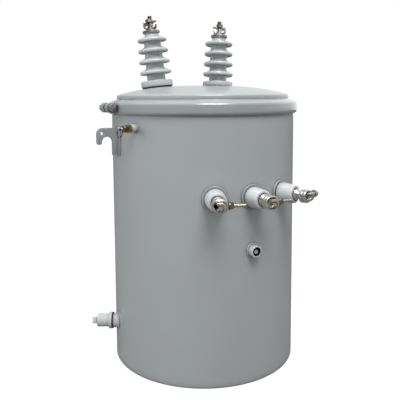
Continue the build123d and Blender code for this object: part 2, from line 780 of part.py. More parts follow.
drain_start = drain_boss_length + drain_gasket_thickness
drain_body_start = drain_start + drain_flange_length
drain_square_start = drain_body_start + drain_body_length
with BuildPart() as drain_valve:
    with BuildSketch(drain.offset(drain_start)):
        Circle(drain_flange_radius)
    extrude(amount=drain_flange_length)
    fillet(drain_valve.edges().sort_by(drain_axis)[-1], drain_flange_round)
    with BuildSketch(drain.offset(drain_body_start)):
        Circle(drain_body_radius)
    extrude(amount=drain_body_length)
    fillet(drain_valve.edges().sort_by(drain_axis)[-1], drain_body_round)
    with BuildSketch(drain.offset(drain_square_start)):
        with Locations(Rotation(0, 0, drain_square_turn)):
            RectangleRounded(drain_square, drain_square, drain_square_round)
    extrude(amount=drain_square_length)
finish(drain_valve, "drain_valve")
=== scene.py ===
"""Looks of a pole mounted distribution transformer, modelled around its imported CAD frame.

Sizes in the classes are millimetres, meshes are metres. Azimuths run from -Y towards +X.
"""

import json
import logging
import math
from collections.abc import Callable, Iterable, Sequence
from dataclasses import dataclass
from enum import Enum
from itertools import pairwise

import bpy
from mathutils import Matrix, Vector

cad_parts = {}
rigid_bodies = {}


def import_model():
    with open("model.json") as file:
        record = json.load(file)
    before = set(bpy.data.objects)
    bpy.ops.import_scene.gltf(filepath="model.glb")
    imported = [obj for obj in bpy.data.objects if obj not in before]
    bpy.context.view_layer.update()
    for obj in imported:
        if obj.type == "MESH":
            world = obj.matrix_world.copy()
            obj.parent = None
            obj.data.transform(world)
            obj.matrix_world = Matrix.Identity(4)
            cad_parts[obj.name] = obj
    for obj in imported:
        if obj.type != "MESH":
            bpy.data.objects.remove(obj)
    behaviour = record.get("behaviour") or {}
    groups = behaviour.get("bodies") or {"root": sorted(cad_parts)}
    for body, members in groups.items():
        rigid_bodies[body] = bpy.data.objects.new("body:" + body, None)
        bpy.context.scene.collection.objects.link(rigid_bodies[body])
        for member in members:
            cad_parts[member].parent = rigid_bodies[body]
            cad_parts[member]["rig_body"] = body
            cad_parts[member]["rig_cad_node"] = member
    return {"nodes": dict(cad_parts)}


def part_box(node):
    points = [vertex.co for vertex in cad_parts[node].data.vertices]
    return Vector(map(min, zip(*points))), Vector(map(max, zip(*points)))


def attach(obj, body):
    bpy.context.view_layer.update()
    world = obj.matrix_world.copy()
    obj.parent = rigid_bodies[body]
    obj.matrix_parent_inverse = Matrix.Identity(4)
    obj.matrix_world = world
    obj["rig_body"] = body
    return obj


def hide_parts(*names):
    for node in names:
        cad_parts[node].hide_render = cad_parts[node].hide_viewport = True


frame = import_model()

MM = 0.001
BODY = "root"
MERGE = 2e-6
NODE_MERGE = 1e-5  # for the loose triangles of a CAD node
FLAT = 0.8  # degrees between triangles that are one face
THREAD_DEPTH = 0.6  # over the pitch
NUT_FACE = 0.475  # the radius of a nut's flat end, over its width
NUT_SNUG = 0.2  # how far a nut's bore cuts into its bolt's thread
RIPPLE = 1.1  # the length of a weld's ripple, over the bead's size
RIPPLE_DEPTH = 0.16  # over the bead's size
BEAD_FACES = 10
Corner = tuple[float, ...]
Profile = list[tuple[float, float]]
Piece = bpy.types.Object
Socket = bpy.types.NodeSocket
Sockets = bpy.types.NodeOutputs
Value = float | tuple[float, ...] | Socket

log = logging.getLogger("transformer")


class Side(Enum):
    """The sides that the bushings and hooks stand on, seen from the front."""

    LEFT = "left"
    CENTRE = "centre"
    RIGHT = "right"


# ---- places ------------------------------------------------------------------------------------
def seat_at(origin: Vector, across: Vector, out: Vector) -> Matrix:
    """Makes the place that a piece is modelled in.

    Args:
        origin: Where the piece's own origin goes, in millimetres.
        across: The direction of its x axis.
        out: The direction of its z axis.

    Returns:
        The matrix from the piece's own place to the object's.
    """
    out, across = out.normalized(), across.normalized()
    turned = Matrix((across, out.cross(across), out)).transposed().to_4x4()
    return Matrix.Translation(origin * MM) @ turned


def outward(azimuth: float) -> Vector:
    """The level direction at an azimuth."""
    a = math.radians(azimuth)
    return Vector((math.sin(a), -math.cos(a), 0))


def wall_seat(radius: float, azimuth: float, height: float) -> Matrix:
    """A place on the tank's side: x to the right, y up and z out of the wall.

    Args:
        radius: How far it is from the tank's axis.
        azimuth: Where it is round the tank.
        height: How high it is.

    Returns:
        The place.
    """
    out = outward(azimuth)
    return seat_at(out * radius + Vector((0, 0, height)), Vector((-out.y, out.x, 0)), out)


def moved(seat: Matrix, x: float = 0.0, y: float = 0.0, z: float = 0.0) -> Matrix:
    """The same place moved along its own axes."""
    return seat @ Matrix.Translation(Vector((x, y, z)) * MM)


def turned(seat: Matrix, axis: str, angle: float) -> Matrix:
    """The same place turned about one of its own axes by degrees."""
    return seat @ Matrix.Rotation(math.radians(angle), 4, axis)


# ---- modelling ---------------------------------------------------------------------------------
def pick(*pieces: Piece) -> None:
    """Selects pieces alone, in object mode.

    Args:
        pieces: The pieces, of which the first is made active.
    """
    if bpy.context.object and bpy.context.object.mode != "OBJECT":
        leave()
    bpy.ops.object.select_all(action="DESELECT")
    for piece in pieces:
        piece.select_set(True)
    if pieces:
        bpy.context.view_layer.objects.active = pieces[0]


def edit(piece: Piece, action: str = "SELECT") -> None:
    """Opens a piece in edit mode, where its points are picked.

    Args:
        piece: The piece.
        action: SELECT or DESELECT, for all of it.
    """
    pick(piece)
    bpy.ops.object.mode_set(mode="EDIT")
    bpy.ops.mesh.select_mode(type="VERT")
    bpy.ops.mesh.select_all(action=action)


def leave() -> None:
    """Goes back to object mode."""
    bpy.ops.object.mode_set(mode="OBJECT")


def put(piece: Piece, seat: Matrix) -> Piece:
    """Moves a piece to its place and applies the move to its mesh.

    Args:
        piece: The piece.
        seat: The place that it is moved to.

    Returns:
        The piece.
    """
    pick(piece)
    piece.matrix_world = seat @ piece.matrix_world
    bpy.ops.object.transform_apply(location=True, rotation=True, scale=True)
    return piece


def modify(piece: Piece, kind: str, **settings: object) -> Piece:
    """Adds a modifier to a piece and applies it.

    Args:
        piece: The piece.
        kind: The modifier's type.
        settings: The modifier's properties.

    Returns:
        The piece.
    """
    pick(piece)
    modifier = piece.modifiers.new(kind.title(), kind)
    for key, value in settings.items():
        setattr(modifier, key, value)
    bpy.ops.object.modifier_apply(modifier=modifier.name)
    return piece


def cut(piece: Piece, tool: Piece, operation: str = "DIFFERENCE") -> Piece:
    """Cuts a piece with a tool, or keeps what both share, and removes the tool.

    Args:
        piece: The piece.
        tool: What it is cut with.
        operation: DIFFERENCE, or INTERSECT to keep what both share.

    Returns:
        The piece.
    """
    modify(piece, "BOOLEAN", operation=operation, object=tool, solver="EXACT")
    bpy.data.objects.remove(tool)
    return piece


def join(name: str, parts: Sequence[Piece]) -> Piece:
    """Joins parts that are one casting or one welded part into one piece.

    Args:
        name: The joined piece's name.
        parts: The parts.

    Returns:
        The joined piece.
    """
    pick(*parts)
    bpy.ops.object.join()
    parts[0].name = name
    return parts[0]


def ease(piece: Piece, width: float, segments: int = 2, sharp: float = 35.0) -> Piece:
    """Rounds a piece's sharp edges by a width in millimetres.

    Args:
        piece: The piece.
        width: The rounding's width.
        segments: Its faces across.
        sharp: Edges that turn by more degrees than this are rounded.

    Returns:
        The piece.
    """
    limits = {"limit_method": "ANGLE", "angle_limit": math.radians(sharp)}
    return modify(piece, "BEVEL", width=width * MM, segments=segments, **limits)


def draw(name: str, corners: Sequence[Vector]) -> Piece:
    """Draws an open line of edges through corners in metres, from a first point pulled out.

    Args:
        name: The piece's name.
        corners: The line's points.

    Returns:
        The line, open in edit mode and selected.
    """
    pick()
    bpy.ops.mesh.primitive_plane_add(size=MM, location=corners[0])
    piece = bpy.context.object
    piece.name = name
    bpy.ops.object.transform_apply(location=True)
    edit(piece)
    bpy.ops.mesh.merge(type="CENTER")
    for previous, corner in pairwise(corners):
        bpy.ops.mesh.extrude_vertices_move(TRANSFORM_OT_translate={"value": corner - previous})
    bpy.ops.mesh.select_all(action="SELECT")
    return piece


def close_up(piece: Piece, seat: Matrix) -> Piece:
    """Turns all faces of the piece being edited outwards and puts it in its place.

    Args:
        piece: The piece, in edit mode.
        seat: The place that it is moved to.

    Returns:
        The piece.
    """
    bpy.ops.mesh.select_all(action="SELECT")
    bpy.ops.mesh.normals_make_consistent(inside=False)
    leave()
    return put(piece, seat)


def lathe(
    name: str,
    profile: Sequence[Corner],
    seat: Matrix = Matrix(),
    segments: int = 96,
    sweep: float = 360.0,
    closed: bool = False,
    step: float = 15.0,
) -> Piece:
    """Turns a piece from a profile.

    Args:
        name: The piece's name.
        profile: Radius and height of each corner in millimetres, and its rounding if it has one.
        seat: The place of the axis.
        segments: Faces round the turn.
        sweep: The turn in degrees, anticlockwise from the x axis.
        closed: Whether the profile ends where it starts, as a ring's does.
        step: The largest turn between two points of a rounding, in degrees.

    Returns:
        The closed piece, in its place.
    """
    corners = [Vector((r, 0, z)) * MM for r, z in rounded(profile, closed, step)]
    if closed:
        corners.append(corners[0])
    piece = draw(name, corners)
    bpy.ops.mesh.spin(steps=segments, angle=math.radians(sweep), center=(0, 0, 0), axis=(0, 0, 1))
    bpy.ops.mesh.select_all(action="SELECT")
    bpy.ops.mesh.remove_doubles(threshold=MERGE)
    if sweep < 360:
        bpy.ops.mesh.fill_holes(sides=0)
    return close_up(piece, seat)


def flat_ring(
    name: str,
    radii: tuple[float, float],
    heights: tuple[float, float],
    rounds: tuple[float, float],
    seat: Matrix,
    segments: int = 64,
    step: float = 45.0,
) -> Piece:
    """Turns a washer or tube: the radii and rounds of its hole and rim, and its two heights.

    Args:
        name: The piece's name.
        radii: The hole's and the rim's radius.
        heights: The two faces' heights.
        rounds: The rounding of the hole's edges and of the rim's.
        seat: The place of the axis.
        segments: Faces round the turn.
        step: The largest turn within a rounding, in degrees.

    Returns:
        The ring.
    """
    (hole, rim), (low, high), (inner, outer) = radii, heights, rounds
    profile = [(hole, low, inner), (rim, low, outer), (rim, high, outer), (hole, high, inner)]
    return lathe(name, profile, seat, segments, closed=True, step=step)


def rounded(corners: Sequence[Corner], closed: bool = False, step: float = 15.0) -> Profile:
    """Rounds the corners of a profile.

    Args:
        corners: Radius and height of each corner, and its rounding where it has one.
        closed: Whether the profile ends where it starts.
        step: The largest turn between two points of an arc, in degrees.

    Returns:
        The profile with its arcs.
    """
    points: Profile = []
    for i, corner in enumerate(corners):
        here = Vector(corner[:2])
        if len(corner) < 3 or (not closed and i in (0, len(corners) - 1)):
            points.append(tuple(here))
            continue
        before = (Vector(corners[i - 1][:2]) - here).normalized()
        after = (Vector(corners[(i + 1) % len(corners)][:2]) - here).normalized()
        half = before.angle(after) / 2
        centre = here + (before + after).normalized() * corner[2] / math.sin(half)
        first = here + before * corner[2] / math.tan(half) - centre
        last = here + after * corner[2] / math.tan(half) - centre
        start = math.atan2(first.y, first.x)
        turn = (math.atan2(last.y, last.x) - start + math.pi) % (2 * math.pi) - math.pi
        count = max(2, math.ceil(abs(math.degrees(turn)) / step))
        for k in range(count + 1):
            a = start + turn * k / count
            points.append((centre.x + corner[2] * math.cos(a), centre.y + corner[2] * math.sin(a)))
    return points


def rod(
    name: str,
    radius: float,
    low: float,
    high: float,
    seat: Matrix = Matrix(),
    segments: int = 48,
    top_round: float = 0.0,
    step: float = 15.0,
) -> Piece:
    """Turns a plain round bar between two heights, its top edge rounded where that is given.

    Args:
        name: The piece's name.
        radius: Its radius.
        low: Its lower end.
        high: Its upper end.
        seat: The place of the axis.
        segments: Faces round the turn.
        top_round: The rounding of its upper edge, if any.
        step: The largest turn within the rounding, in degrees.

    Returns:
        The rod.
    """
    edge = (radius, high, top_round) if top_round else (radius, high)
    return lathe(name, [(0, low), (radius, low), edge, (0, high)], seat, segments, step=step)


def arc(centre: tuple[float, float], radius: float, first: float, last: float, count: int) -> Profile:
    """Points of an arc of a profile, between two angles in degrees."""
    angles = [math.radians(first + (last - first) * k / count) for k in range(count + 1)]
    return [(centre[0] + radius * math.cos(a), centre[1] + radius * math.sin(a)) for a in angles]


def oval(run: float, radius: float) -> Profile:
    """An outline with two round ends, whose centres are a run to each side of the middle."""
    return [*arc((run, 0), radius, -90, 90, 20), *arc((-run, 0), radius, 90, 270, 20)]


def extruded(name: str, outline: Iterable[tuple[float, float]], depth: float, seat: Matrix) -> Piece:
    """Makes a flat part from its outline in x and y, thick along z about its middle.

    Args:
        name: The piece's name.
        outline: The outline's corners.
        depth: The thickness.
        seat: The piece's place.

    Returns:
        The part.
    """
    corners = [Vector((x, y, -depth / 2)) * MM for x, y in outline]
    piece = draw(name, [*corners, corners[0]])
    bpy.ops.mesh.remove_doubles(threshold=MERGE)
    bpy.ops.mesh.edge_face_add()
    bpy.ops.mesh.extrude_region_move(TRANSFORM_OT_translate={"value": (0, 0, depth * MM)})
    return close_up(piece, seat)


def hexagon(name: str, across_flats: float, height: float, seat: Matrix, bore: float = 0.0) -> Piece:
    """Makes a hexagon nut or head, its corners chamfered as on a lathe, from z = 0 up.

    Args:
        name: The piece's name.
        across_flats: The width.
        height: The height.
        seat: The piece's place.
        bore: The radius of its hole, if any.

    Returns:
        The nut or head.
    """
    corner = across_flats / math.sqrt(3)
    face = NUT_FACE * across_flats
    pick()
    bpy.ops.mesh.primitive_cylinder_add(
        vertices=6, radius=corner * MM, depth=height * MM, location=(0, 0, height / 2 * MM)
    )
    piece = bpy.context.object
    piece.name = name
    bpy.ops.object.transform_apply(location=True)
    outer = corner + 1
    drop = (outer - face) * math.tan(math.radians(30))
    edge = [(face, 0), (outer, drop), (outer, height - drop), (face, height)]
    cut(piece, lathe("chamfer", [(0, 0), *edge, (0, height)], segments=48), "INTERSECT")
    if bore:
        cut(piece, rod("bore", bore, -1, height + 1))
    ease(piece, 0.25, segments=1, sharp=25)
    return put(piece, seat)


def threaded(name: str, diameter: float, pitch: float, length: float, seat: Matrix) -> Piece:
    """Makes a rod with a real helical thread, from z = 0 up.

    Args:
        name: The piece's name.
        diameter: The thread's outer diameter.
        pitch: The thread's pitch.
        length: The rod's length.
        seat: The piece's place.

    Returns:
        The rod.
    """
    crest, root = diameter / 2, diameter / 2 - THREAD_DEPTH * pitch
    tooth = [(root, -1.0), (crest, -0.62), (crest, -0.48), (root, -0.1), (root, 0.0)]
    piece = draw(name, [Vector((r, 0, share * pitch)) * MM for r, share in tooth])
    leave()
    coil = {"screw_offset": pitch * MM, "iterations": math.ceil(length / pitch) + 1}
    weld = {"use_merge_vertices": True, "merge_threshold": MERGE}
    modify(piece, "SCREW", axis="Z", steps=24, render_steps=24, **coil, **weld)
    edit(piece)
    bpy.ops.mesh.remove_doubles(threshold=MERGE)
    for height, direction in ((0.0, -1), (length * MM, 1)):
        bpy.ops.mesh.select_all(action="SELECT")
        bpy.ops.mesh.bisect(
            plane_co=(0, 0, height), plane_no=(0, 0, direction), use_fill=True, clear_outer=True
        )
    return close_up(piece, seat)


def ring_bead(name: str, radius: float, size: float, seat: Matrix) -> Piece:
    """Makes a rippled weld bead round a boss, in the plane of its place.

    Args:
        name: The piece's name.
        radius: The ring's radius.
        size: The bead's radius.
        seat: The piece's place.

    Returns:
        The bead.
    """
    ripples = round(2 * math.pi * radius / (RIPPLE * size))
    minor = BEAD_FACES
    pick()
    bpy.ops.mesh.primitive_torus_add(
        major_segments=3 * ripples, minor_segments=minor, major_radius=radius * MM, minor_radius=size * MM
    )
    piece = bpy.context.object
    piece.name = name
    edit(piece, action="DESELECT")
    leave()
    for i, vertex in enumerate(piece.data.vertices):
        vertex.select = i // minor % 3 == 0
    bpy.ops.object.mode_set(mode="EDIT")
    bpy.ops.transform.shrink_fatten(value=-RIPPLE_DEPTH * size * MM)
    leave()
    return put(piece, seat)


def line_bead(name: str, length: float, size: float, seat: Matrix) -> Piece:
    """Makes a straight rippled weld bead with round ends, along z from 0 up.

    Args:
        name: The piece's name.
        length: The bead's length.
        size: The bead's radius.
        seat: The piece's place.

    Returns:
        The bead.
    """
    ripples = round(length / (RIPPLE * size))
    step = length / ripples
    profile = [(0.0, 0.0), (0.7 * size, 0.15 * step), (0.95 * size, 0.5 * step)]
    for k in range(1, ripples):
        profile += [(0.86 * size, k * step), (size, (k + 0.45) * step)]
    profile += [(0.7 * size, length - 0.15 * step), (0.0, length)]
    return lathe(name, profile, seat, segments=12)


def copied(node: str, width: float) -> Piece:
    """Copies a CAD node whose shape is right, and rounds the copy's sharp edges.

    Args:
        node: The CAD node.
        width: The rounding's width.

    Returns:
        The copy.
    """
    source = frame["nodes"][node]
    piece = source.copy()
    piece.data = source.data.copy()
    piece.parent = None
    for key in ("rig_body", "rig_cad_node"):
        del piece[key]
    bpy.context.scene.collection.objects.link(piece)
    pick(piece)
    bpy.ops.mesh.customdata_custom_splitnormals_clear()
    edit(piece)
    bpy.ops.mesh.remove_doubles(threshold=NODE_MERGE)
    bpy.ops.mesh.dissolve_limited(angle_limit=math.radians(FLAT))
    leave()
    return ease(piece, width)


# ---- shading -----------------------------------------------------------------------------------
class Graph:
    """A node tree that is being wired up."""

    def __init__(self, tree: bpy.types.NodeTree) -> None:
        """Empties a tree and starts on it."""
        self.tree = tree
        tree.nodes.clear()

    def add(
        self, kind: str, inputs: dict[str | int, Value] | None = None, **settings: object
    ) -> bpy.types.Node:
        """Adds a node.

        Args:
            kind: The node's type, without its ShaderNode prefix.
            inputs: What each of its sockets is set or wired to.
            settings: The node's own properties.

        Returns:
            The node.
        """
        node = self.tree.nodes.new("ShaderNode" + kind)
        for key, value in settings.items():
            setattr(node, key, value)
        for key, value in (inputs or {}).items():
            if isinstance(value, Socket):
                self.tree.links.new(value, node.inputs[key])
            else:
                node.inputs[key].default_value = value
        return node

    def object_place(self) -> Socket:
        """The point being shaded, in metres."""
        return self.add("TexCoord").outputs["Object"]

    def noise(self, scale: Value, detail: float = 3.0, place: Socket | None = None) -> Socket:
        """Cloudy noise from 0 to 1 with about scale blobs a metre."""
        vector = place or self.object_place()
        return self.add("TexNoise", {"Vector": vector, "Scale": scale, "Detail": detail}).outputs["Fac"]

    def math(self, operation: str, first: Value, second: Value) -> Socket:
        """A sum on two values, held between 0 and 1."""
        return self.add("Math", {0: first, 1: second}, operation=operation, use_clamp=True).outputs[0]

    def dot(self, first: Value, second: Value) -> Socket:
        """How far two directions agree, from -1 to 1."""
        return self.add("VectorMath", {0: first, 1: second}, operation="DOT_PRODUCT").outputs["Value"]

    def ramp(self, value: Value, low: float, high: float, bottom: float = 0.0, top: float = 1.0) -> Socket:
        """Spreads a value from between low and high to between bottom and top."""
        names = {"Value": value, "From Min": low, "From Max": high, "To Min": bottom, "To Max": top}
        return self.add("MapRange", names).outputs["Result"]

    def mix(self, share: Value, first: Value, second: Value) -> Socket:
        """Mixes two colours."""
        return self.add("Mix", {0: share, 6: first, 7: second}, data_type="RGBA").outputs[2]

    def stain_and_shade(self, colour: Value, mask: Value, share: float, tint: Value) -> Socket:
        """Mixes a share of a tint into a colour where a mask is high."""
        return self.mix(self.math("MULTIPLY", mask, share), colour, tint)

    def bump(self, strength: float, distance: float, height: Socket) -> Socket:
        """The normal of a surface that a height raises."""
        return self.add("Bump", {"Strength": strength, "Distance": distance, "Height": height}).outputs[0]


def clouds(graph: Graph, given: Sockets) -> Socket:
    """Soft patches, such as uneven colour: from 0 to 1 at a Scale, between Low and High.

    Args:
        graph: The group's graph.
        given: What the group is given.

    Returns:
        The mask.
    """
    spread = {"Value": graph.noise(given["Scale"], 4.0), "From Min": given["Low"], "From Max": given["High"]}
    return graph.add("MapRange", spread, interpolation_type="SMOOTHSTEP").outputs["Result"]


def edges(graph: Graph, given: Sockets) -> Socket:
    """Edges that rub: high along convex and concave edges nearer than Radius.

    Args:
        graph: The group's graph.
        given: What the group is given.

    Returns:
        The mask.
    """
    bevel = graph.add("Bevel", {"Radius": given["Radius"]}, samples=4)
    facing = graph.dot(bevel.outputs[0], graph.add("NewGeometry").outputs["Normal"])
    uneven = graph.ramp(graph.noise(180.0), 0.3, 0.7, 0.35, 1.0)
    return graph.math("MULTIPLY", graph.ramp(facing, 0.995, 0.85), uneven)


def dust(graph: Graph, given: Sockets) -> Socket:
    """Dust that lies on what faces up, broken up at a Scale.

    Args:
        graph: The group's graph.
        given: What the group is given.

    Returns:
        The mask.
    """
    up = graph.add("SeparateXYZ", {0: graph.add("NewGeometry").outputs["Normal"]}).outputs["Z"]
    patch = graph.ramp(graph.noise(given["Scale"], 6.0), 0.35, 0.7)
    return graph.math("MULTIPLY", graph.ramp(up, 0.2, 0.95), patch)


def occlusion_shade(graph: Graph, given: Sockets) -> Socket:
    """Painted shade in corners: high where another surface is nearer than Distance.

    Args:
        graph: The group's graph.
        given: What the group is given.

    Returns:
        The mask.
    """
    room = graph.add("AmbientOcclusion", {"Distance": given["Distance"]}, samples=8)
    return graph.ramp(room.outputs["AO"], 0.92, 0.3)


def peel(graph: Graph, given: Sockets) -> Socket:
    """The fine waviness of sprayed paint or fired glaze: a height at a Scale, with Fine grain.

    Args:
        graph: The group's graph.
        given: What the group is given.

    Returns:
        The height.
    """
    place = graph.object_place()
    wave = graph.noise(given["Scale"], 1.0, place)
    fine = graph.math("MULTIPLY", graph.noise(2600.0, 1.0, place), given["Fine"])
    return graph.add("Math", {0: wave, 1: fine}, operation="ADD").outputs[0]


@dataclass(frozen=True)
class Effect:
    """An effect that several finishes share: how it is wired, its inputs and its output's name."""

    wire: Callable[[Graph, Sockets], Socket]
    inputs: dict[str, float]
    output: str = "Mask"

    def group(self, name: str) -> bpy.types.NodeTree:
        """Builds the effect's shader node group.

        Args:
            name: The group's name.

        Returns:
            The group's tree.
        """
        tree = bpy.data.node_groups.new(name, "ShaderNodeTree")
        for label, value in self.inputs.items():
            socket = tree.interface.new_socket(label, in_out="INPUT", socket_type="NodeSocketFloat")
            socket.default_value = value
        tree.interface.new_socket(self.output, in_out="OUTPUT", socket_type="NodeSocketFloat")
        graph = Graph(tree)
        result = self.wire(graph, tree.nodes.new("NodeGroupInput").outputs)
        tree.links.new(result, tree.nodes.new("NodeGroupOutput").inputs[self.output])
        return tree


EFFECTS = {
    "clouds": Effect(clouds, {"Scale": 10.0, "Low": 0.4, "High": 0.6}),
    "edges": Effect(edges, {"Radius": 0.002}),
    "dust": Effect(dust, {"Scale": 30.0}),
    "occlusion_shade": Effect(occlusion_shade, {"Distance": 0.02}),
    "peel": Effect(peel, {"Scale": 250.0, "Fine": 0.2}, "Height"),
}
GROUPS: dict[str, bpy.types.NodeTree] = {}


def effect(graph: Graph, name: str, **values: float) -> Socket:
    """Places a shared effect in a material and returns what it puts out.

    Args:
        graph: The material's graph.
        name: The effect's name.
        values: Its inputs.

    Returns:
        Its mask or height.
    """
    if name not in GROUPS:
        GROUPS[name] = EFFECTS[name].group(name)
    node = graph.add("Group", node_tree=GROUPS[name])
    for label, value in values.items():
        node.inputs[label.title()].default_value = value
    return node.outputs[0]


@dataclass(frozen=True)
class Finish:
    """A finish of the object: its name, its slot in the record, and its colour in linear light."""

    name: str
    slot: str
    colour: tuple[float, float, float]

    def shade(self, factor: float) -> tuple[float, float, float, float]:
        """The finish's colour, lighter or darker by a factor."""
        return (*(min(1.0, channel * factor) for channel in self.colour), 1.0)

    def wire(self, graph: Graph) -> dict[str, Value]:
        """Wires the finish's own nodes and returns what the shader's sockets are set to."""
        raise NotImplementedError

    def material(self) -> bpy.types.Material:
        """Makes the finish's material once and returns it.

        Returns:
            The material, which all pieces of the finish share.
        """
        made = bpy.data.materials.get(self.name)
        if made:
            return made
        made = bpy.data.materials.new(self.name)
        made.use_nodes = True
        graph = Graph(made.node_tree)
        shader = graph.add("BsdfPrincipled", self.wire(graph))
        graph.add("OutputMaterial", {"Surface": shader.outputs[0]})
        made.diffuse_color = self.shade(1.0)
        return made


@dataclass(frozen=True)
class Enamel(Finish):
    """Sprayed gloss enamel with slight orange peel, uneven colour, some dust, and painted shade in corners
    and where parts touch.
    """

    roughness: float = 0.3
    dust: float = 0.07
    painted_shade: float = 0.5
    contact_shade: float = 0.85
    coat: float = 0.35
    peel: float = 0.00004

    def wire(self, graph: Graph) -> dict[str, Value]:
        """Wires the enamel.

        Args:
            graph: The material's graph.

        Returns:
            What the shader's sockets are set or wired to.
        """
        patches = effect(graph, "clouds", scale=5.0, low=0.3, high=0.7)
        colour = graph.mix(patches, self.shade(0.985), self.shade(1.015))
        specks = effect(graph, "clouds", scale=900.0, low=0.66, high=0.74)
        colour = graph.stain_and_shade(colour, specks, 0.1, self.shade(0.72))
        colour = graph.stain_and_shade(colour, effect(graph, "edges", radius=0.0025), 0.16, self.shade(1.5))
        dusty = graph.math("MULTIPLY", effect(graph, "dust", scale=26.0), self.dust)
        colour = graph.mix(dusty, colour, (0.55, 0.54, 0.50, 1.0))
        # Painted shade: darker in corners and round fittings, and a near-black line where parts touch.
        colour = graph.stain_and_shade(colour, effect(graph, "occlusion_shade", distance=0.022), self.painted_shade, self.shade(0.35))
        colour = graph.stain_and_shade(colour, effect(graph, "occlusion_shade", distance=0.008), self.contact_shade, self.shade(0.15))
        smears = effect(graph, "clouds", scale=14.0, low=0.42, high=0.75)
        rough = graph.ramp(smears, 0.0, 1.0, self.roughness - 0.02, self.roughness + 0.03)
        return {
            "Base Color": colour,
            "Roughness": graph.math("ADD", rough, graph.math("MULTIPLY", dusty, 1.5)),
            "IOR": 1.5,
            "Coat Roughness": 0.12,
            "Coat Weight": self.coat,
            "Normal": graph.bump(0.25, self.peel, effect(graph, "peel", scale=260.0)),
        }


@dataclass(frozen=True)
class Glaze(Finish):
    """Fired porcelain glaze, glassy, pooled darker in patches, speckled, and darkened in its hollows as
    painted shade.
    """

    speckle: float = 0.25
    painted_shade: float = 0.35
    roughness: float = 0.12

    def wire(self, graph: Graph) -> dict[str, Value]:
        """Wires the glaze.

        Args:
            graph: The material's graph.

        Returns:
            What the shader's sockets are set or wired to.
        """
        pools = effect(graph, "clouds", scale=22.0, low=0.3, high=0.7)
        colour = graph.mix(pools, self.shade(0.94), self.shade(1.05))
        specks = effect(graph, "clouds", scale=1500.0, low=0.68, high=0.76)
        colour = graph.stain_and_shade(colour, specks, self.speckle, self.shade(0.55))
        colour = graph.stain_and_shade(colour, effect(graph, "edges", radius=0.0015), 0.2, self.shade(1.25))
        # Painted shade: darker in the hollows between sheds and round parts that touch it.
        colour = graph.stain_and_shade(colour, effect(graph, "occlusion_shade", distance=0.03), self.painted_shade, self.shade(0.3))
        smears = effect(graph, "clouds", scale=30.0, low=0.4, high=0.8)
        return {
            "Base Color": colour,
            "Roughness": graph.ramp(smears, 0.0, 1.0, self.roughness - 0.03, self.roughness + 0.08),
            "IOR": 1.52,
            "Coat Weight": 0.5,
            "Coat Roughness": 0.05,
            "Normal": graph.bump(0.3, 0.00005, effect(graph, "peel", scale=120.0, fine=0.05)),
        }


@dataclass(frozen=True)
class Plating(Finish):
    """Cast or turned metal, plated or bare, tarnished in patches, nearly black in the hollows as painted
    shade, and bright where it rubs.
    """

    tarnish: tuple[float, float, float] = (0.2, 0.18, 0.15)
    tarnished: float = 0.5
    roughness: float = 0.28
    painted_shade: float = 0.95
    cast: float = 0.00008

    def wire(self, graph: Graph) -> dict[str, Value]:
        """Wires the metal.

        Args:
            graph: The material's graph.

        Returns:
            What the shader's sockets are set or wired to.
        """
        stains = effect(graph, "clouds", scale=110.0, low=0.38, high=0.72)
        share = graph.math("MULTIPLY", stains, self.tarnished)
        colour = graph.mix(share, self.shade(1.0), (*self.tarnish, 1.0))
        # Painted shade in a dark tarnish tint: nearly black in the hollows and where parts touch.
        shade_colour = (*(channel * 0.2 for channel in self.tarnish), 1.0)
        colour = graph.stain_and_shade(colour, effect(graph, "occlusion_shade", distance=0.012), self.painted_shade, shade_colour)
        colour = graph.stain_and_shade(colour, effect(graph, "edges", radius=0.0008), 0.6, self.shade(1.3))
        grain = effect(graph, "clouds", scale=420.0, low=0.3, high=0.7)
        rough = graph.ramp(grain, 0.0, 1.0, self.roughness - 0.06, self.roughness + 0.1)
        return {
            "Base Color": colour,
            "Roughness": graph.math("ADD", rough, graph.math("MULTIPLY", share, 0.25)),
            "Metallic": 1.0,
            "Normal": graph.bump(0.5, self.cast, effect(graph, "peel", scale=700.0, fine=0.5)),
        }


@dataclass(frozen=True)
class Rubber(Finish):
    """Moulded gasket rubber, matt, with a bloom and dust."""

    def wire(self, graph: Graph) -> dict[str, Value]:
        """Wires the rubber.

        Args:
            graph: The material's graph.

        Returns:
            What the shader's sockets are set or wired to.
        """
        bloom = effect(graph, "clouds", scale=90.0, low=0.4, high=0.8)
        colour = graph.stain_and_shade(self.shade(1.0), bloom, 0.4, self.shade(2.2))
        colour = graph.stain_and_shade(colour, effect(graph, "dust", scale=60.0), 0.3, (0.2, 0.2, 0.19, 1.0))
        return {
            "Base Color": colour,
            "Roughness": graph.ramp(bloom, 0.0, 1.0, 0.55, 0.8),
            "Normal": graph.bump(0.4, 0.0001, effect(graph, "peel", scale=900.0)),
        }


PAINT = Enamel("tank_enamel", "tank_paint", (0.335, 0.356, 0.360))
# The tank's paint, made lighter on the fittings and bushing flanges as painted light.
LIT_FITTING_PAINT = Enamel("lit_fitting_enamel", "tank_paint", (0.43, 0.45, 0.455), roughness=0.22, painted_shade=0.8)
# The tank's paint, made darker on the clamp band as painted shade.
SHADED_BAND_PAINT = Enamel("shaded_band_enamel", "tank_paint", (0.272, 0.290, 0.295), roughness=0.2, coat=1.0)
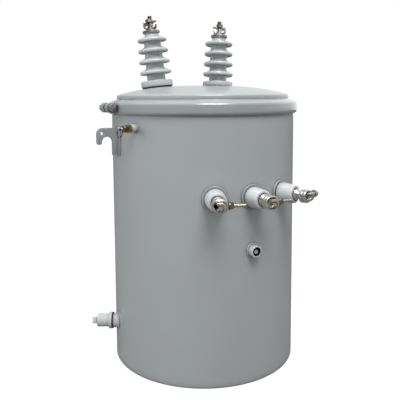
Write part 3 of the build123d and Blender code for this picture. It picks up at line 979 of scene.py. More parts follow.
# The tank's paint, matt and made darker on the hooks as painted shade.
SHADED_HOOK_PAINT = Enamel("shaded_hook_enamel", "tank_paint", (0.25, 0.26, 0.268), roughness=0.4, painted_shade=0.2, contact_shade=0.0)
GREY_GLAZE = Glaze("grey_glaze", "grey_porcelain", (0.475, 0.495, 0.50), painted_shade=0.5)
WHITE_GLAZE = Glaze("white_glaze", "white_porcelain", (0.55, 0.565, 0.575), speckle=0.08, painted_shade=0.8)
RUBBER = Rubber("gasket_rubber", "gasket_rubber", (0.012, 0.012, 0.012))
TINNED = Plating(
    "tinned_bronze", "tinned_bronze", (0.28, 0.262, 0.24), (0.05, 0.042, 0.035), 0.8, 0.22, cast=0.0002
)
DULL_TIN = Plating("dull_bronze", "tinned_bronze", (0.47, 0.455, 0.435), (0.2, 0.18, 0.165), 0.45, 0.36, 0.75)
OLIVE = Plating("nut_bronze", "tinned_bronze", (0.36, 0.33, 0.22), (0.08, 0.07, 0.04), 0.7)
GREASED = Plating("greased_thread", "tinned_bronze", (0.03, 0.029, 0.024), (0.01, 0.01, 0.008), 0.8, 0.4)
DARK_ZINC = Plating("weathered_zinc", "zinc_steel", (0.56, 0.57, 0.57), (0.05, 0.05, 0.052), 0.75, 0.22)
ZINC = Plating("zinc_plate", "zinc_steel", (0.70, 0.71, 0.71), (0.2, 0.2, 0.2), 0.3, 0.25)
BRASS = Plating("valve_brass", "brass", (0.54, 0.31, 0.16), (0.08, 0.035, 0.015), 0.7, 0.2)
YELLOW_BRASS = Plating("valve_hexagon", "brass", (0.42, 0.36, 0.14), (0.05, 0.03, 0.01), 0.75, 0.2)
WIRE = Plating("ring_wire", "ring_steel", (0.12, 0.115, 0.10), (0.04, 0.035, 0.03), 0.6)


def dress(piece: Piece, finish: Finish) -> None:
    """Gives a piece or a CAD node its finish."""
    piece.data.materials.clear()
    piece.data.materials.append(finish.material())


def settle(piece: Piece, finish: Finish, *nodes: str, sharp: float = 32.0) -> Piece:
    """Finishes a new piece and puts it on the object.

    Args:
        piece: The piece, in its place.
        finish: What it is finished in.
        nodes: The CAD nodes that it stands for.
        sharp: Edges that turn by more degrees than this stay sharp.

    Returns:
        The piece.
    """
    pick(piece)
    bpy.ops.object.shade_smooth_by_angle(angle=math.radians(sharp))
    dress(piece, finish)
    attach(piece, BODY)
    if nodes:
        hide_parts(*nodes)
    log.info("%s: %d faces%s", piece.name, len(piece.data.polygons), fit_note(piece, nodes))
    return piece


def fit_note(piece: Piece, nodes: Sequence[str]) -> str:
    """How far a piece's box is from its nodes' box, in words.

    Args:
        piece: The piece.
        nodes: The CAD nodes that it stands for.

    Returns:
        The words, or nothing for a piece that stands for no node.
    """
    if not nodes:
        return ""
    corners = [vertex.co for vertex in piece.data.vertices]
    boxes = [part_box(node) for node in nodes]
    gaps = []
    for axis in range(3):
        gaps.append(min(c[axis] for c in corners) - min(low[axis] for low, _ in boxes))
        gaps.append(max(c[axis] for c in corners) - max(high[axis] for _, high in boxes))
    return f", within {max(map(abs, gaps)) / MM:.2f} mm of {', '.join(nodes)}"


# ---- tank --------------------------------------------------------------------------------------
@dataclass
class Tank:
    """The welded tank: rolled shell with a turned-out lip, pads, bottom, seams and the domed cover."""

    radius: float = 254.0
    wall: float = 3.0
    lip_top: float = 700.0
    lip_width: float = 6.7
    pad_radius: float = 32.0
    pad_draft: float = 0.4
    pad_face: float = 2.5
    pad_hole: float = 18.0
    pad_azimuths: tuple[float, ...] = (-22.3, 0.0, 22.3)
    pad_height: float = 481.0
    gasket: float = 4.0
    sheet: float = 2.5
    rise: float = 51.9
    crown_radius: float = 2000.0
    crown_edge: float = 95.0
    shoulder_radius: float = 650.0
    knuckle: float = 6.0
    cover_inset: float = 14.0
    seam_azimuth: float = 152.0
    seam_start: float = 6.0
    seam_size: float = 2.4
    bottom_seam: float = 11.0
    bottom_seam_size: float = 2.6
    segments: int = 256

    def build(self) -> None:
        """Builds and dresses the tank and its cover."""
        self.shell()
        self.cover()
        self.seams()
        dress(frame["nodes"]["tank_bottom"], PAINT)
        dress(frame["nodes"]["cover_gasket"], RUBBER)

    def shell(self) -> None:
        """Turns the shell and sets the pressed pads on it."""
        inner, lip = self.radius - self.wall, self.radius + self.lip_width
        top, ledge = self.lip_top, self.lip_top - self.wall
        profile = [
            (inner, 0, 0.8), (self.radius, 0, 1.2), (self.radius, ledge, 1.5),
            (lip, ledge, 1.0), (lip, top, 1.2), (inner, top, 1.0),
        ]
        parts = [lathe("tank_shell", profile, segments=self.segments, closed=True)]
        hole, rim, face = self.pad_hole, self.pad_radius, self.pad_face
        pad = [(hole, -self.wall), (hole, face), (rim, face, 1.4), (rim + self.pad_draft, -self.wall)]
        for azimuth in self.pad_azimuths:
            seat = wall_seat(self.radius, azimuth, self.pad_height)
            parts.append(lathe("pad", pad, seat, closed=True, step=10))
        settle(join("tank_shell", parts), PAINT, "tank_wall")

    def dome(self) -> tuple[float, float, float, float]:
        """The cover's top, its crown's half angle, and the radius and height of the shoulder's centre.

        Returns:
            Those four, with the angle in radians.
        """
        top = self.lip_top + self.gasket + self.sheet + self.rise
        crown = math.asin(self.crown_edge / self.crown_radius)
        apart = self.crown_radius - self.shoulder_radius
        return top, crown, apart * math.sin(crown), top - self.crown_radius + apart * math.cos(crown)

    def skin(self, depth: float) -> Profile:
        """The cover's outline at a depth under its outer skin, from the middle out and down.

        Args:
            depth: The depth.

        Returns:
            Radius and height of each point.
        """
        top, crown, x, z = self.dome()
        knuckle_x = self.radius - self.cover_inset - self.knuckle
        reach = self.shoulder_radius - self.knuckle
        bend = math.asin((knuckle_x - x) / reach)
        knuckle_z = z + reach * math.cos(bend)
        crown, bend = math.degrees(crown), math.degrees(bend)
        points = arc((0, top - self.crown_radius), self.crown_radius - depth, 90, 90 - crown, 8)
        points += arc((x, z), self.shoulder_radius - depth, 90 - crown, 90 - bend, 12)[1:]
        points += arc((knuckle_x, knuckle_z), self.knuckle - depth, 90 - bend, 0, 8)[1:]
        return points

    def cover(self) -> None:
        """Turns the domed cover with its flange."""
        floor = self.lip_top + self.gasket
        top, skirt = floor + self.sheet, floor + 12
        lip, rim = self.radius + self.lip_width, self.radius - self.cover_inset
        inner = rim - self.sheet
        flange = rounded([
            (rim, skirt), (rim, top, 1.5), (lip, top, 0.8),
            (lip, floor, 0.8), (inner, floor, 2.5), (inner, skirt),
        ])
        profile = self.skin(0) + flange[1:-1] + self.skin(self.sheet)[::-1]
        settle(lathe("domed_cover", profile, segments=self.segments), PAINT, "cover")

    def seams(self) -> None:
        """Welds the shell's upright seam and the bottom's seam."""
        seat = wall_seat(self.radius - 0.7, self.seam_azimuth, self.seam_start)
        upright = line_bead("shell_seam", self.lip_top - 30, self.seam_size, turned(seat, "X", -90))
        settle(upright, PAINT, sharp=60)
        around = Matrix.Translation(Vector((0, 0, self.bottom_seam)) * MM)
        bead = ring_bead("bottom_seam", self.radius - self.wall - 0.6, self.bottom_seam_size, around)
        settle(bead, PAINT, sharp=60)

    def cover_seat(self, circle: float, azimuth: float, turn: float) -> Matrix:
        """The place on the cover where a bushing stands, square to the dome.

        Args:
            circle: How far it is from the tank's axis.
            azimuth: Where it is round the tank.
            turn: The bushing's turn about itself, in degrees.

        Returns:
            The place.
        """
        x, z = self.dome()[2:]
        lean = math.asin((circle - x) / self.shoulder_radius)
        sine, cosine = math.sin(lean), math.cos(lean)
        out = outward(azimuth)
        origin = out * circle + Vector((0, 0, z + self.shoulder_radius * cosine))
        up = out * sine + Vector((0, 0, cosine))
        return turned(seat_at(origin, out * cosine - Vector((0, 0, sine)), up), "Z", turn)


@dataclass
class CoverClamp:
    """The split band that clamps the cover, drawn together by one bolt through two barrels."""

    tank: Tank
    sheet: float = 2.5
    clearance: float = 0.3
    below_lip: float = 18.0
    above_lip: float = 21.5
    slope: float = 9.5
    corner: float = 9.0
    gap: float = 10.0
    azimuth: float = -92.3
    height: float = 700.5
    bolt: float = 12.7
    pitch: float = 1.95
    across_flats: float = 19.0
    head: float = 8.0
    nut: float = 11.0
    washer: float = 2.5
    washer_radius: float = 12.5
    past_nut: float = 5.0
    barrel_wall: float = 6.8
    barrel: float = 20.0
    bore_gap: float = 0.4
    spacing: float = 26.0
    web: float = 18.0
    weld: float = 2.0

    def build(self) -> None:
        """Builds and dresses the band, the bolt and the nut."""
        self.outside = self.tank.radius + self.tank.lip_width + self.clearance + self.sheet
        self.barrel_radius = self.bolt / 2 + self.barrel_wall
        out = wall_seat(self.outside + self.barrel_radius, self.azimuth, self.height)
        self.along = turned(out, "Y", 90)
        self.band()
        self.fasteners()

    def band(self) -> None:
        """Rolls the band and welds its barrels on."""
        rim = self.tank.radius - self.tank.cover_inset
        high, low = self.tank.lip_top + self.above_lip, self.tank.lip_top - self.below_lip
        wall, sheet, outside = self.tank.radius + self.clearance, self.sheet, self.outside
        top = (rim + sheet / 2, high)
        slant = Vector((outside - top[0], -self.slope)).normalized()
        inward = Vector((slant.y, -slant.x)) * sheet
        side = outside - sheet
        rise = (side - top[0] - inward.x) / slant.x * slant.y
        inner = self.corner - sheet
        profile = [
            top, (outside, high - self.slope, self.corner), (outside, low, self.corner), (wall, low),
            (wall, low + sheet), (side, low + sheet, inner), (side, top[1] + inward.y + rise, inner),
            (top[0] + inward.x, top[1] + inward.y),
        ]
        half_gap = math.degrees(self.gap / 2 / outside)
        start = Matrix.Rotation(math.radians(self.azimuth - 90 + half_gap), 4, "Z")
        parts = [lathe("band", profile, start, 240, 360 - 2 * half_gap, closed=True, step=10)]
        radii = (self.bolt / 2 + self.bore_gap, self.barrel_radius)
        for end in (self.spacing / 2, -self.spacing / 2 - self.barrel):
            place = moved(self.along, z=end)
            parts.append(flat_ring("barrel", radii, (0, self.barrel), (0.8, 1.2), place, step=30))
            parts.append(self.web_plate(place))
            for way in (-1, 1):
                weld = moved(place, x=self.barrel_radius - self.weld, y=way * (self.web / 2 + 0.3), z=1)
                parts.append(line_bead("web_weld", self.barrel - 2, self.weld, weld))
        settle(join("clamp_ring", parts), SHADED_BAND_PAINT, "clamp_band", sharp=35)

    def web_plate(self, place: Matrix) -> Piece:
        """The block that joins a barrel to the band.

        Args:
            place: The barrel's place.

        Returns:
            The block.
        """
        near, far, half = self.bolt / 2 + 2.5, self.barrel_radius + 0.6, self.web / 2
        outline = [(near, -half), (far, -half), (far, half), (near, half)]
        return ease(extruded("web", outline, self.barrel - 1, moved(place, z=self.barrel / 2)), 0.8)

    def fasteners(self) -> None:
        """Makes the bolt with its thread and the nut with its washer."""
        face = self.spacing / 2 + self.barrel
        seat = moved(self.along, z=face)
        head = hexagon("head", self.across_flats, self.head, seat)
        thread = self.washer + self.nut + self.past_nut + 12
        plain = 2 * face + self.washer + self.nut + self.past_nut - thread
        shank = rod("shank", self.bolt / 2, -plain, 0.5, seat)
        screw = threaded("screw", self.bolt, self.pitch, thread, moved(self.along, z=face - plain - thread))
        settle(join("band_bolt", [head, shank, screw]), DARK_ZINC, "clamp_bolt")
        base = turned(moved(self.along, z=-face), "X", 180)
        radii = (self.bolt / 2 + 0.3, self.washer_radius)
        washer = flat_ring("washer", radii, (0, self.washer), (0.3, 0.5), base)
        bore = self.bolt / 2 - NUT_SNUG
        nut = hexagon("nut", self.across_flats, self.nut, moved(base, z=self.washer), bore)
        settle(join("band_nut", [washer, nut]), DARK_ZINC, "clamp_nut")


@dataclass
class LiftingHook:
    """A plate hook welded to the tank's side."""

    tank: Tank
    side: Side
    below_lip: float = 51.5
    height: float = 71.5
    plate: float = 8.0
    foot: float = 13.0
    weld: float = 1.7

    def build(self) -> None:
        """Builds the hook and its welds."""
        node = f"lifting_hook_{self.side.value}"
        parts = [copied(node, 0.9)]
        azimuth = -90.0 if self.side is Side.LEFT else 90.0
        top = self.tank.lip_top - self.below_lip
        edge = self.foot + self.plate / 2
        for x in (-edge, edge):
            seat = moved(wall_seat(self.tank.radius + 0.6, azimuth, top), x=x, y=-self.height + 1)
            parts.append(line_bead("weld", self.height - 2, self.weld, turned(seat, "X", -90)))
        for y in (0.0, -self.height):
            seat = moved(wall_seat(self.tank.radius - 0.2, azimuth, top), x=-edge, y=y)
            parts.append(line_bead("weld", 2 * edge, self.weld, turned(seat, "Y", 90)))
        settle(join(f"hook_{self.side.value}", parts), SHADED_HOOK_PAINT, node, sharp=40)


@dataclass
class SupportLug:
    """A bent bracket on the pole side, with a slot for the pole bolt."""

    tank: Tank
    name: str
    width: float = 90.0
    height: float = 90.0
    weld: float = 3.0

    def build(self) -> None:
        """Builds the bracket and its welds."""
        node = f"{self.name}_support_lug"
        low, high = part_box(node)
        middle = (low.z + high.z) / 2 / MM
        parts = [copied(node, 1.0)]
        for x in (-self.width / 2, self.width / 2):
            lean = math.degrees(math.asin(x / self.tank.radius))
            seat = wall_seat(self.tank.radius + 0.5, 180 - lean, middle - self.height / 2 + 2)
            parts.append(line_bead("weld", self.height - 4, self.weld, turned(seat, "X", -90)))
        settle(join(f"{self.name}_bracket", parts), PAINT, node, sharp=40)


# ---- high voltage ------------------------------------------------------------------------------
@dataclass
class HighVoltageBushing:
    """A porcelain with four sheds on the cover, with a cap and a clamp for the line wire."""

    tank: Tank
    side: Side
    azimuth: float
    turn: float
    tilt: float
    gasket: float
    flange: float
    circle: float = 132.0
    flange_radius: float = 45.3
    hole: float = 22.0
    shank: float = 25.0
    sheds: int = 4
    pitch: float = 30.7
    first_shed: float = 23.3
    shed_radius: tuple[float, float] = (45.2, 41.7)
    core: tuple[float, float] = (26.5, 24.0)
    rim_above: float = 3.5
    rim_below: float = 5.0
    rim_round: float = 4.5
    root_above: float = 11.6
    root_below: float = 4.5
    root_round: float = 3.0
    neck_radius: float = 20.0
    neck: float = 18.4
    cap_radius: float = 24.4
    cap: float = 4.0
    cap_rim: float = 8.0
    cap_wall: float = 2.2
    foot_flats: float = 24.3
    foot: float = 9.0
    foot_turn: float = 17.0
    foot_shoulder: float = 12.0
    post: float = 7.0
    stud: float = 12.7
    stud_pitch: float = 1.95
    above_nut: float = 8.0
    conductor: float = 4.5
    groove_floor: float = 16.5
    jaw_wall: float = 4.0
    jaw_width: float = 12.0
    jaw_height: float = 33.0
    keeper_level: float = 26.0
    keeper: float = 8.0
    keeper_width: float = 10.0
    keeper_tail: float = 20.0
    washer: float = 2.4
    washer_radius: float = 9.4
    across_flats: float = 19.0
    nut: float = 7.5

    def build(self) -> None:
        """Builds and dresses the bushing."""
        self.seat = self.tank.cover_seat(self.circle, self.azimuth, self.turn)
        self.flange_top = self.gasket + self.flange
        self.cap_seat = self.flange_top + self.first_shed + (self.sheds - 1) * self.pitch + self.neck
        dress(frame["nodes"][f"hv_gasket_{self.side.value}"], RUBBER)
        self.porcelain()
        self.cap_and_terminal()
        self.clamp()

    def porcelain(self) -> None:
        """Turns the flange and the shed porcelain."""
        name, low, high = self.side.value, self.gasket, self.flange_top
        rim, bore = self.flange_radius, self.core[0] + 0.2
        ring = [(bore, low, 0.5), (rim, low, 3.4), (rim, high, 3.0), (bore, high, 1.0)]
        flange = lathe(f"bushing_flange_{name}", ring, self.seat, 128, closed=True)
        settle(flange, LIT_FITTING_PAINT, f"hv_flange_{name}")
        inside, foot = self.hole - 0.5, -self.shank
        corners: list[Corner] = [(0, foot), (inside, foot, 2), (inside, low), (self.core[0], low)]
        for shed in range(self.sheds):
            share = shed / (self.sheds - 1)
            core, rim = (wide + share * (narrow - wide) for wide, narrow in (self.core, self.shed_radius))
            level = high + self.first_shed + shed * self.pitch
            above = self.neck_radius if shed == self.sheds - 1 else core
            root, edge = self.root_round, self.rim_round
            corners += [(core, level - self.root_below, root), (rim, level - self.rim_below, edge)]
            corners += [(rim, level + self.rim_above, edge), (above, level + self.root_above, root)]
        corners += [(self.neck_radius, self.cap_seat, 0.6), (0, self.cap_seat)]
        body = lathe(f"bushing_porcelain_{name}", corners, self.seat, 128, step=12)
        settle(body, GREY_GLAZE, f"hv_porcelain_{name}", sharp=50)

    def cap_and_terminal(self) -> None:
        """Turns the dished cap and joins the terminal's castings on it."""
        name, base, wall, rim = self.side.value, self.cap_seat, self.cap_wall, self.cap_radius
        floor, high = base + self.cap, base + self.cap_rim
        dish = [
            (0, base), (rim - wall, base, 1.5), (rim, base + self.cap / 2, 1.2), (rim, high, 0.9),
            (rim - wall, high, 0.9), (rim - 1.5 * wall, floor, 1.5), (0, floor),
        ]
        settle(lathe(f"bushing_cap_{name}", dish, self.seat), DULL_TIN, f"hv_cap_{name}")
        settle(join(f"line_terminal_{name}", self.terminal()), DULL_TIN, f"hv_terminal_{name}")

    def terminal(self) -> list[Piece]:
        """Makes the hexagon foot, the casting with the wire's jaw, and the threaded stud.

        Returns:
            The terminal's parts.
        """
        foot, level = self.cap_seat + self.cap, self.keeper_level
        post, wire, wall = self.post, self.conductor, self.jaw_wall
        centre = (post + wire, self.groove_floor + wire)
        outside = centre[0] + wire + wall
        casting = [
            (-6.0, 10.5), (-13.0, 11.5), (-17.0, 16.0), (-18.6, 25.0), (-15.4, 25.6), (-13.6, 18.6),
            (-10.5, 16.2), (-post, 17.5), (-post, level), (post, level), *arc(centre, wire, 180, 360, 10),
            (outside - wall, self.jaw_height), (outside - 0.6, self.jaw_height),
            *arc(centre, wire + wall, 0, -90, 8), (5.0, 10.5),
        ]
        upright = turned(moved(self.seat, z=self.cap_seat), "X", 90)
        jaw = ease(extruded("jaw", casting, self.jaw_width, upright), 1.1, 3)
        shoulder, keeper = self.foot_shoulder, self.cap_seat + level
        shaft = [
            (0, foot + 7), (shoulder, foot + 7), (shoulder, foot + self.foot, 1.0),
            (post, self.cap_seat + 14, 2.0), (post, keeper, 0.6), (0, keeper),
        ]
        seat = turned(moved(self.seat, z=foot), "Z", self.foot_turn)
        nut_foot = hexagon("foot", self.foot_flats, self.foot, seat)
        post_part = lathe("post", shaft, self.seat, 64)
        length = self.keeper + self.nut + self.above_nut
        screw = threaded("stud", self.stud, self.stud_pitch, length, moved(self.seat, z=keeper))
        return [jaw, nut_foot, post_part, screw]

    def clamp(self) -> None:
        """Makes the saddle casting that holds the wire down, its washer and its nut."""
        name = self.side.value
        seat = turned(moved(self.seat, z=self.cap_seat), "Y", self.tilt)
        low, high = self.keeper_level, self.keeper_level + self.keeper
        inside, tail = self.post + 2 * self.conductor - 0.4, -self.keeper_tail
        saddle = [
            (tail, high - 3.4), (-11.0, high - 4.4), (-9.0, low + 0.6), (-6.0, low), (6.5, low),
            (8.5, low - 1.6), (14.0, low - 1.6), (inside, low + 1.0), (inside, high - 1.4),
            (9.0, high - 0.6), (6.5, high), (-8.0, high), (-11.0, high - 0.6), (tail, high + 0.4),
        ]
        bar = extruded("saddle", saddle, self.keeper_width, turned(seat, "X", 90))
        rim, under = self.washer_radius, high - self.washer
        disc = [(0, under), (rim, under, 0.5), (rim, high, 0.5), (0, high)]
        washer = lathe("washer", disc, seat, 64, step=30)
        for part in (bar, washer):
            cut(part, rod("hole", self.stud / 2 + 0.3, low - 9, high + 9, seat))
        ease(bar, 1.0, 3)
        nut = hexagon("nut", self.across_flats, self.nut, moved(seat, z=high), self.stud / 2 - NUT_SNUG)
        settle(join(f"line_clamp_{name}", [bar, washer, nut]), DULL_TIN, f"hv_keeper_{name}")


# ---- low voltage -------------------------------------------------------------------------------
@dataclass
class LowVoltageBushing:
    """A white porcelain on the tank's wall with an eyebolt terminal."""

    tank: Tank
    side: Side
    azimuth: float
    backed_off: float
    gasket: float = 2.0
    base_radius: float = 26.5
    base: float = 9.0
    front_radius: float = 22.7
    length: float = 42.5
    recess_radius: float = 15.7
    recess: float = 4.0
    shank: float = 20.0
    collar_radius: float = 14.5
    collar: float = 7.5
    cone: float = 8.0
    neck_radius: float = 7.5
    neck: float = 3.0
    head: float = 30.0
    conductor: float = 5.0
    lip: float = 0.6
    slack: float = 1.0
    slot: float = 2.2
    slot_depth: float = 12.0
    bolt: float = 9.5
    bolt_pitch: float = 1.6
    bolt_reach: float = 62.0
    eye: float = 40.0
    eye_height: float = 33.0
    eye_wall: float = 5.5
    eye_thickness: float = 18.0
    eye_round: float = 3.0
    eye_offset: tuple[float, float] = (1.0, -2.0)
    eye_level: float = 73.5
    washer: float = 3.0
    washer_radius: float = 10.0
    across_flats: float = 14.3
    nut: float = 8.5

    def build(self) -> None:
        """Builds and dresses the bushing."""
        self.seat = wall_seat(self.tank.radius, self.azimuth, self.tank.pad_height)
        dress(frame["nodes"][f"lv_gasket_{self.side.value}"], RUBBER)
        self.porcelain()
        self.terminal()
        self.fastener()

    def porcelain(self) -> None:
        """Turns the porcelain with its thick foot, rolled front edge and recess."""
        name, hole, base = self.side.value, self.tank.pad_hole - 0.5, self.base_radius
        back = self.tank.pad_face + self.gasket
        front = back + self.length
        floor = front - self.recess
        profile = [
            (0, -self.shank), (hole, -self.shank, 1.5), (hole, back), (base, back, 0.8),
            (base, back + self.base, 3.0), (self.front_radius, front, 3.0), (self.recess_radius, front, 1.2),
            (self.recess_radius, floor, 0.8), (0, floor),
        ]
        piece = lathe(f"wall_porcelain_{name}", profile, self.seat, 112)
        settle(piece, WHITE_GLAZE, f"lv_porcelain_{name}", sharp=50)

    def terminal(self) -> None:
        """Makes the collar, the cone and the split head that the wire is laid in."""
        name = self.side.value
        start = self.tank.pad_face + self.gasket + self.length - self.recess
        cone, neck = start + self.collar, start + self.collar + self.cone
        head, radius, collar = neck + self.neck, self.neck_radius, self.collar_radius
        shaft = [
            (0, start), (collar, start), (collar, cone, 1.5),
            (radius, neck, 2.0), (radius, head, 0.5), (0, head),
        ]
        x, y = self.eye_offset
        half = self.eye / 2 - self.eye_wall - self.slack
        flank = self.eye_height / 2 - self.eye_wall - self.slack
        groove = x - self.eye / 2 + self.eye_wall + self.conductor
        lip = math.degrees(math.acos(self.lip / self.conductor))
        outline = [
            *arc((groove, y), self.conductor, -lip, lip, 10), (groove + self.lip, y + flank),
            *arc((x + half - flank, y), flank, 90, -90, 16), (groove + self.lip, y - flank),
        ]
        block = extruded("head", outline, self.head, moved(self.seat, z=head + self.head / 2))
        ease(block, 1.4, 3, 50)
        cut(block, self.split(moved(self.seat, x=x, y=y, z=head + self.head)))
        body = lathe("shaft", shaft, self.seat, 80)
        settle(join(f"wall_terminal_{name}", [block, body]), TINNED, f"lv_terminal_{name}")

    def split(self, place: Matrix) -> Piece:
        """The S-shaped slot in the head's end, about the eye's middle.

        Args:
            place: The place of the head's end.

        Returns:
            The cutter.
        """
        line = [*arc((-8.5, 9.5), 6.0, 190, 270, 5), *arc((0.0, -3.5), 7.0, 90, 0, 6)]
        line += [*arc((2.0, -3.5), 5.0, -18, -90, 4), (-6.5, -8.5)]
        left, right = [], []
        for i, point in enumerate(line):
            before, after = Vector(line[max(i - 1, 0)]), Vector(line[min(i + 1, len(line) - 1)])
            across = (after - before).normalized().orthogonal() * self.slot / 2
            left.append(tuple(Vector(point) + across))
            right.append(tuple(Vector(point) - across))
        return extruded("slot", left + right[::-1], 2 * self.slot_depth, place)

    def fastener(self) -> None:
        """Makes the eyebolt with its double-ridged eye and thread, and its nut and washer."""
        name, (x, y) = self.side.value, self.eye_offset
        outer, inner = self.eye_height / 2, self.eye_height / 2 - self.eye_wall
        edge = self.eye / 2
        run, thick = edge - outer, self.eye_thickness
        rings = []
        for step in (-1, 1):
            place = moved(self.seat, x=x, y=y, z=self.eye_level + step * thick / 4)
            ring = extruded("eye", oval(run, outer), thick / 2, place)
            cut(ring, extruded("hole", oval(run, inner), thick, place))
            rings.append(ease(ring, self.eye_round, 4, 50))
        axis = turned(moved(self.seat, x=x, y=y, z=self.eye_level), "Y", 90)
        bolt, root, shoulder = self.bolt / 2, edge - self.eye_wall + 0.4, thick / 2 - 0.5
        stem = [
            (0, root), (shoulder, root), (shoulder, edge - 1.5, 1.5), (bolt, edge + 0.6, 0.5),
            (bolt, edge + 1.2), (0, edge + 1.2),
        ]
        length = self.bolt_reach - x - edge - 1.0
        screw = threaded("screw", self.bolt, self.bolt_pitch, length, moved(axis, z=edge + 1.0))
        parts = [*rings, lathe("stem", stem, axis, 48), screw]
        settle(join(f"eyebolt_{name}", parts), TINNED, f"lv_eyebolt_{name}")
        base = moved(axis, z=edge + self.backed_off)
        radii = (bolt + 0.2, self.washer_radius)
        washer = flat_ring("washer", radii, (0, self.washer), (0.3, 0.6), base)
        nut = hexagon("nut", self.across_flats, self.nut, moved(base, z=self.washer), bolt - NUT_SNUG)
        finish = ZINC if self.side is Side.RIGHT else OLIVE
        settle(join(f"eyebolt_nut_{name}", [washer, nut]), finish, f"lv_eyebolt_nut_{name}")


# ---- small fittings ----------------------------------------------------------------------------
@dataclass
class ReliefValve:
    """The pressure relief valve in its boss, with a ribbed body and a pull ring."""

    tank: Tank
    azimuth: float = -70.0
    below_lip: float = 50.0
    boss_radius: float = 10.0
    boss: float = 18.0
    weld: float = 2.0
    across_flats: float = 17.5
    hexagon: float = 13.0
    body_radius: float = 8.5
    body: float = 12.5
    ribs: int = 3
    rib: float = 2.4
    stem_radius: float = 4.0
    stem: float = 4.0
    eye: float = 5.0
    eye_hole: float = 2.5
    eye_plate: float = 4.0
    ring: float = 9.5
    wire: float = 0.8
    coil_turn: float = 690.0
    coil_pitch: float = 3.2
    drop: float = 1.1

    def build(self) -> None:
        """Builds and dresses the valve."""
        seat = wall_seat(self.tank.radius, self.azimuth, self.tank.lip_top - self.below_lip)
        boss = rod("boss", self.boss_radius, -2, self.boss, seat, 64, 1.3, 20)
        weld = ring_bead("weld", self.boss_radius + 0.6, self.weld, moved(seat, z=0.2))
        settle(join("relief_socket", [boss, weld]), LIT_FITTING_PAINT, "relief_boss", sharp=40)
        nut = hexagon("relief_hexagon", self.across_flats, self.hexagon, moved(seat, z=self.boss))
        settle(nut, YELLOW_BRASS)
        self.body_and_ring(seat)

    def body_and_ring(self, seat: Matrix) -> None:
        """Turns the ribbed body and hangs the split ring in the stem's eye.

        Args:
            seat: The valve's place on the wall.
        """
        start = self.boss + self.hexagon
        step, crest, root = self.body / self.ribs, self.body_radius, self.body_radius - self.rib
        profile: list[Corner] = [(0, start - 1), (root, start - 1)]
        for rib in range(self.ribs):
            z = start + rib * step
            profile += [(root, z + 0.1 * step, 0.2), (crest, z + 0.35 * step, 0.6)]
            profile += [(crest, z + 0.7 * step, 0.6), (root, z + 0.95 * step, 0.2)]
        end = start + self.body
        profile += [(self.stem_radius + 1.5, end), (0, end)]
        settle(lathe("relief_body", profile, seat, 64, step=30), BRASS, "relief_valve")
        tip = end + self.stem
        level, half = tip + self.eye, self.eye_plate / 2
        stem = rod("stem", self.stem_radius, end - 1, tip + 1.5, seat, top_round=1.0, step=30)
        plane = turned(moved(seat, z=level), "Y", 90)
        eye = flat_ring("eye", (self.eye_hole, self.eye), (-half, half), (0.6, 0.9), plane, 48, 30)
        settle(join("relief_stem", [stem, eye]), ZINC)
        self.split_ring(moved(seat, y=-self.drop - self.ring, z=level))

    def split_ring(self, seat: Matrix) -> None:
        """Coils the pull ring from two turns of wire.

        Args:
            seat: The ring's middle.
        """
        loop = arc((self.ring, 0), self.wire, 0, 360, 12)
        piece = draw("pull_ring", [Vector((x, 0, z)) * MM for x, z in loop])
        bpy.ops.mesh.remove_doubles(threshold=MERGE)
        leave()
        rise = self.coil_pitch * self.wire
        coil = {"angle": math.radians(self.coil_turn), "screw_offset": rise * MM, "iterations": 1}
        modify(piece, "SCREW", axis="Z", steps=128, render_steps=128, use_merge_vertices=False, **coil)
        edit(piece)
        bpy.ops.mesh.fill_holes(sides=0)
        settle(close_up(piece, moved(seat, z=-rise / 2)), WIRE, "relief_pull_ring", sharp=60)


@dataclass
class GroundBoss:
    """The tapped boss for the ground connector."""

    tank: Tank
    azimuth: float = 0.0
    height: float = 346.8
    radius: float = 15.0
    length: float = 20.5
    face_radius: float = 11.4
    face_depth: float = 1.5
    thread_radius: float = 5.4
    thread_depth: float = 14.0
    weld: float = 2.3

    def build(self) -> None:
        """Builds and dresses the boss, its greased face and its weld."""
        seat = wall_seat(self.tank.radius, self.azimuth, self.height)
        rim, end, recess = self.radius, self.length, self.face_radius
        face, floor = end - self.face_depth, end - self.face_depth - 2.5
        outside = [(0, -2), (rim, -2), (rim, end, 1.6), (recess, end, 0.5), (recess, floor), (0, floor)]
        boss = lathe("boss", outside, seat, 80, step=20)
        weld = ring_bead("weld", rim + 0.7, self.weld, moved(seat, z=0.2))
        settle(join("ground_socket", [boss, weld]), LIT_FITTING_PAINT, "ground_boss", sharp=40)
        hole, low = self.thread_radius, face - self.thread_depth
        insert = [
            (hole, low), (hole, face - 1.5, 0.3), (hole + 1.5, face, 0.3), (recess - 2.2, face, 0.4),
            (recess - 1.4, face - 1.6, 0.3), (recess - 0.1, face - 1.6), (recess - 0.1, low),
        ]
        settle(lathe("ground_insert", insert, seat, 64, closed=True, step=30), GREASED)


